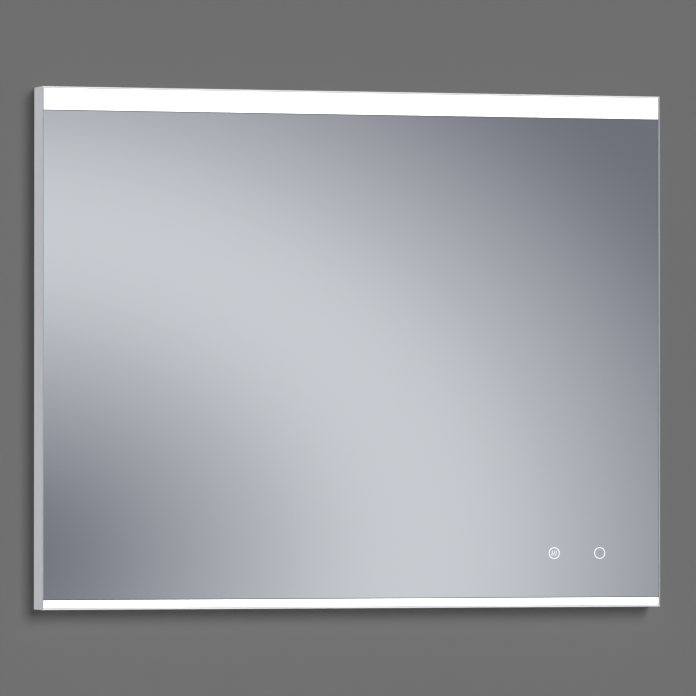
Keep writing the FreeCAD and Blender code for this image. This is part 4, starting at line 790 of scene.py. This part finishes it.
def make_transformer(finishes):
    """A bobbin's foot, a taped winding and a core that bridges it."""
    low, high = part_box("driver_transformer")
    foot, core_half, leg, bridge = 2 * MM, 5 * MM, 3.8 * MM, 1.2 * MM
    end_gap, front_gap = 1.6 * MM, 0.8 * MM  # round the winding
    left, right, top_y = (low.x + high.x) / 2 - core_half, (low.x + high.x) / 2 + core_half, high.y - foot
    blocks("driver_transformer_bobbin", [((low.x, top_y, low.z), high)], finishes["sensor_plastic"],
           "transformer_core", "driver_transformer")
    blocks("driver_transformer_winding", [
        ((low.x + end_gap, low.y + front_gap, low.z + leg), (high.x - end_gap, top_y, high.z - leg))],
        finishes["winding_tape"], "transformer_core", edge=2.2 * MM)
    blocks("driver_transformer_core", [
        ((left, low.y, low.z), (right, top_y, low.z + leg)),
        ((left, low.y, high.z - leg), (right, top_y, high.z)),
        ((left, low.y, low.z + leg), (right, low.y + bridge, high.z - leg))],
        finishes["transformer_core"], "transformer_core", edge=0.25 * MM)


def make_board_parts(finishes):
    """Lead sockets, chips and resistors on the driver's board."""
    board_low, board_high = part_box("driver_board")
    face, left, middle = board_low.y, board_low.x, (board_low.z + board_high.z) / 2

    def on_board(along, up, wide, high, tall):
        """A block's corners from its place and size on the board, in mm."""
        return ((left + along * MM, face - tall * MM, middle + (up - high / 2) * MM),
                (left + (along + wide) * MM, face, middle + (up + high / 2) * MM))

    half, deep, long, gap = 3 * MM, 4.5 * MM, 6 * MM, 0.1 * MM
    lead_low, lead_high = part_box("led_cable_top")
    lead_radius = (lead_high.x - lead_low.x) / 2
    sockets = []
    for lead, end in (("led_cable_bottom", 1), ("led_cable_top", -1), ("demister_pad_cable", 1),
                      ("dimmer_cable", 1), ("demister_switch_cable", 1)):
        low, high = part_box(lead)
        x = low.x + lead_radius
        start = high.z if end == 1 else low.z
        near, far = sorted((start + end * gap, start + end * long))
        sockets.append(((x - half, face - deep, near), (x + half, face, far)))
    blocks("driver_board_sockets", sockets, finishes["terminal_plastic"], "circuit_board", edge=0.25 * MM)
    chips = [on_board(*chip) for chip in ((62, 9, 8, 6, 1.7), (62, -9, 6, 5, 1.5), (78, 0, 10, 3.4, 9),
                                          (8, 14, 9, 9, 5))]
    blocks("driver_board_chips", chips, finishes["sensor_plastic"], "circuit_board", edge=0.2 * MM)
    first, pitch, columns, rows = 20, 4, 9, (-14, 13)
    resistors = [on_board(first + pitch * column, row, 2, 1.6, 0.7)
                 for column in range(columns) for row in rows]
    blocks("driver_board_resistors", resistors, finishes["transformer_core"], "circuit_board",
           edge=0.12 * MM)


def make_terminal_screws(spots, finish):
    """The clamping screws at the bottom of the terminal block's wells."""
    low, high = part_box("terminal_block")
    centre, wide, tall = (low + high) / 2, (high.x - low.x) / 3, (high.z - low.z) / 4
    head, thick, floor_y = 1.85 * MM, 1.4 * MM, high.y - 9 * MM
    places = [(centre.x + column * wide, floor_y, centre.z + row * tall)
              for column in (-1, 0, 1) for row in (-1, 1)]
    rings = [(0, 0.6 * thick), (0.5 * head, 0.6 * thick, "hex"), (0.5 * head, thick, "hex"),
             (0.85 * head, thick), (head, 0.8 * thick), (head, 0), (0, 0)]
    repeated(turned("terminal_screw_item", rings, 18), "terminal_block_screws", places, spots, finish,
             "terminal_plastic", turn_step=0.5)


def spring_tree():
    """A wound spring along -Y from each of the given points."""
    tree, given = new_tree("WoundSpring", [
        ("Radius", "Float"), ("Length", "Float"), ("Turns", "Float"), ("Wire", "Float"),
        ("Finish", "Material")])
    coil = add(tree, "GeometryNodeCurveSpiral", {
        "Resolution": 20, "Rotations": given.outputs["Turns"], "Start Radius": given.outputs["Radius"],
        "End Radius": given.outputs["Radius"], "Height": given.outputs["Length"]})
    round_wire = add(tree, "GeometryNodeCurvePrimitiveCircle", {
        "Resolution": 8, "Radius": given.outputs["Wire"]})
    wound = add(tree, "GeometryNodeCurveToMesh", {
        "Curve": coil.outputs[0], "Profile Curve": round_wire.outputs[0], "Fill Caps": True})
    laid = add(tree, "GeometryNodeTransform", {
        "Geometry": wound.outputs[0], "Rotation": (math.radians(90), 0, 0)})
    placed = add(tree, "GeometryNodeInstanceOnPoints", {
        "Points": given.outputs["Geometry"], "Instance": laid.outputs[0]})
    return close_tree(tree, placed.outputs[0], given.outputs["Finish"])


def make_sensor_parts(finishes):
    """The spring that carries the touch to each sensor's board, and small parts round it."""
    tree = spring_tree()
    wire, radius, turns = 0.3 * MM, 3 * MM, 5.0
    count, ring, half_x, half_z, tall = 6, 5.3 * MM, 0.8 * MM, 0.5 * MM, 0.6 * MM
    for side in ("dimmer", "demister"):
        centre, face = middle_of(side + "_sensor_board"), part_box(side + "_sensor_board")[0].y
        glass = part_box(side + "_sensor_case")[0].y
        foot = [(centre.x, face - wire, centre.z)]
        grown(side + "_touch_spring", spot_mesh("spring_foot", foot), tree, {
            "Radius": radius, "Length": face - glass - 2 * wire, "Turns": turns, "Wire": wire,
            "Finish": finishes["screw_steel"]}, "circuit_board")
        parts = []
        for i in range(count):
            angle = 2 * math.pi * (i + 0.5) / count
            x, z = centre.x + ring * math.cos(angle), centre.z + ring * math.sin(angle)
            parts.append(((x - half_x, face - tall, z - half_z), (x + half_x, face, z + half_z)))
        blocks(side + "_sensor_parts", parts, finishes["transformer_core"], "circuit_board",
               edge=0.1 * MM)


# -------------------- stage and light
def make_stage():
    """A pale floor, a grey backdrop seen from the front only, and a card that the glass reflects."""
    def plane(name, corners):
        mesh = bpy.data.meshes.new(name)
        mesh.from_pydata(corners, [], [(0, 1, 2, 3)])
        made = bare_object(name, mesh)
        return made

    floor_z, reach, wall_top = -1.95, 9.0, 6.0
    card_y, card_half, card_top = -3.0, 7.0, 5.0
    floor = plane("Floor", [(-reach, -reach, floor_z), (reach, -reach, floor_z),
                            (reach, reach, floor_z), (-reach, reach, floor_z)])
    floor.data.materials.append(surface("FloorPaint", (0.80, 0.80, 0.80), (0.82, 0.82, 0.82), (0.7, 0.8),
                                        60.0, 0.0001))

    wall = plane("Backdrop", [(-reach, 0, floor_z), (reach, 0, floor_z), (reach, 0, wall_top),
                              (-reach, 0, wall_top)])
    material, tree = blank_material("BackdropPaint")
    paint = add(tree, "ShaderNodeBsdfDiffuse", {"Color": (0.146, 0.146, 0.146, 1)})
    clear = add(tree, "ShaderNodeBsdfTransparent")
    side = add(tree, "ShaderNodeNewGeometry")
    mixed = add(tree, "ShaderNodeMixShader", {
        0: side.outputs["Backfacing"], 1: paint.outputs[0], 2: clear.outputs[0]})
    add(tree, "ShaderNodeOutputMaterial", {"Surface": mixed.outputs[0]})
    wall.data.materials.append(material)
    for flag in ("visible_diffuse", "visible_glossy", "visible_transmission", "visible_shadow"):
        setattr(wall, flag, False)

    card = plane("ReflectionCard", [(-card_half, card_y, card_top), (card_half, card_y, card_top),
                                    (card_half, card_y, floor_z), (-card_half, card_y, floor_z)])
    material, tree = blank_material("CardGlow")
    centre, ring_wide, ring_high = Vector((0.12, card_y, -0.64)), 1.84, 1.317
    stretch = Vector((1 / ring_wide, 1, 1 / ring_high))
    from_centre = add(tree, "ShaderNodeVectorMath", {
        0: place_of(tree, stretch, -centre * stretch)}, operation="LENGTH")
    wave = add(tree, "ShaderNodeMath", {0: from_centre.outputs["Value"], 1: 2 * math.pi},
               operation="MULTIPLY")
    cosine = add(tree, "ShaderNodeMath", {0: wave.outputs[0]}, operation="COSINE")
    share = add(tree, "ShaderNodeMapRange", {"Value": cosine.outputs[0], "From Min": 1.0, "From Max": -1.0,
                                             "To Min": 0.0, "To Max": 1.0})
    ramp = add(tree, "ShaderNodeValToRGB", {"Fac": share.outputs[0]})
    tones = ramp.color_ramp.elements
    tones[0].color, tones[1].color = (0.171, 0.177, 0.203, 1), (0.626, 0.646, 0.666, 1)
    for spot, tone in ((0.25, (0.283, 0.289, 0.321)), (0.5, (0.386, 0.393, 0.418)),
                       (0.75, (0.490, 0.503, 0.528))):
        tones.new(spot).color = rgba(tone)
    glow = add(tree, "ShaderNodeEmission", {"Color": ramp.outputs[0], "Strength": 1.0})
    add(tree, "ShaderNodeOutputMaterial", {"Surface": glow.outputs[0]})
    card.data.materials.append(material)
    for flag in ("visible_camera", "visible_diffuse", "visible_transmission", "visible_shadow"):
        setattr(card, flag, False)


def make_light():
    """Two broad soft lamps, before and behind, and an even surround that only reflections see graded."""
    def lamp(name, towards, strength, spread):
        """A lamp that shines towards a direction, with its spread in degrees."""
        data = bpy.data.lights.new(name, "SUN")
        data.energy = strength
        data.angle = math.radians(spread)
        made = bpy.data.objects.new(name, data)
        made.rotation_mode = "QUATERNION"
        made.rotation_quaternion = Vector(towards).normalized().to_track_quat("-Z", "Y")
        made.visible_glossy = False
        bpy.context.scene.collection.objects.link(made)

    sideways, downwards = math.radians(12.5), math.radians(18)
    lamp("FrontLamp", (-math.tan(sideways), 1, -math.tan(downwards)), 2.70, 28)
    lamp("RearLamp", (0.35, -1, -0.55), 1.9, 40)

    world = bpy.data.worlds.new("Surround")
    world.use_nodes = True
    bpy.context.scene.world = world
    tree = world.node_tree
    tree.nodes.clear()
    path = add(tree, "ShaderNodeLightPath")
    direction = add(tree, "ShaderNodeTexCoord")
    height = add(tree, "ShaderNodeSeparateXYZ", {"Vector": direction.outputs["Generated"]})
    share = add(tree, "ShaderNodeMapRange", {"Value": height.outputs[2], "From Min": -0.6, "From Max": 0.9,
                                             "To Min": 0.0, "To Max": 1.0})
    sheen = between(tree, share.outputs[0], (0.45, 0.455, 0.47), (0.95, 0.95, 0.96))
    lit = add(tree, "ShaderNodeMix", {"Factor": path.outputs["Is Glossy Ray"], 6: (0.135, 0.135, 0.139, 1),
                                      7: sheen}, data_type="RGBA")
    seen = add(tree, "ShaderNodeMix", {"Factor": path.outputs["Is Camera Ray"], 6: lit.outputs[2],
                                       7: (0.159, 0.159, 0.159, 1)}, data_type="RGBA")
    background = add(tree, "ShaderNodeBackground", {"Color": seen.outputs[2], "Strength": 1.0})
    add(tree, "ShaderNodeOutputWorld", {"Surface": background.outputs[0]})


# -------------------- dressing the frame
def coat_nodes(finishes):
    """Every CAD node takes its slot's finish."""
    for part in frame["record"]["subparts"]:
        mesh = frame["nodes"][part["node"]].data
        mesh.materials.clear()
        mesh.materials.append(finishes[part["material_slot"]])


# How far the edges of each node's form are softened, by material slot, in mm.
EDGED = [(node, slot, width * MM) for slot, width, nodes in (
    ("zinc_steel", 0.2, ("wall_rail", "hanger", "corner_key_top_left", "corner_key_top_right",
                         "corner_key_bottom_left", "corner_key_bottom_right")),
    ("cover_paint", 0.25, ("back_cover", "terminal_lid")),
    ("channel_white", 0.25, ("light_channel_top", "light_channel_bottom")),
    ("driver_plastic", 0.4, ("driver_case", "driver_lid", "terminal_tray")),
    ("terminal_plastic", 0.3, ("terminal_block", "cord_clamp", "cable_clips")),
    ("sensor_plastic", 0.35, ("dimmer_sensor_case", "demister_sensor_case")),
    ("light_guide", 0.3, ("dimmer_light_guide", "demister_light_guide")),
    ("tinned_brass", 0.2, ("earth_lug",))) for node in nodes]


def dress_frame(finishes):
    """The nodes whose own form is shown with softened edges or several finishes."""
    bar_edge = 0.3 * MM
    # painted light and shade: the top and bottom bars take the paler copy of the aluminium, the uprights the
    # darker copy
    for node in ("frame_top", "frame_bottom"):
        edged(node, finishes["anodised_aluminium"], "anodised_aluminium", bar_edge)
    for node in ("frame_left", "frame_right"):
        edged(node, finishes["anodised_upright_shaded_copy"], "anodised_aluminium", bar_edge)
    for node, slot, width in EDGED:
        edged(node, finishes[slot], slot, width)
    coated_pane("mirror_glass", finishes["mirror_silver"], finishes["mirror_backing"],
                finishes["mirror_edge"], "mirror_silver", polished=True)
    for node in ("light_panel_top", "light_panel_bottom"):
        coated_pane(node, finishes["opal_panel"], finishes["opal_panel"], finishes["opal_edge"],
                    "opal_panel")


bpy.context.scene.view_settings.view_transform = "Standard"
make_camera()
make_stage()
make_light()
finishes = {**make_finishes(), **pane_finishes()}
coat_nodes(finishes)
dress_frame(finishes)
at_spots, in_rows = spots_tree(), row_tree()
for node, shank in (("cover_screws", 1.5), ("terminal_lid_screws", 1.5), ("cord_clamp_screws", 1.5),
                    ("driver_screws", 1.6)):
    make_screws(node, shank * MM, at_spots, finishes["screw_steel"])
make_grub_screws(at_spots, finishes["screw_steel"])
make_earth_fixings(finishes)
make_grommet(finishes["soft_rubber"])
make_transformer(finishes)
make_board_parts(finishes)
make_terminal_screws(at_spots, finishes["screw_steel"])
make_sensor_parts(finishes)
make_rivets(at_spots, finishes["zinc_steel"])
make_light_strips(finishes, in_rows)
make_heater_line(finishes)
make_bumpers(finishes["soft_rubber"])
make_capacitors(at_spots, finishes["capacitor_sleeve"])
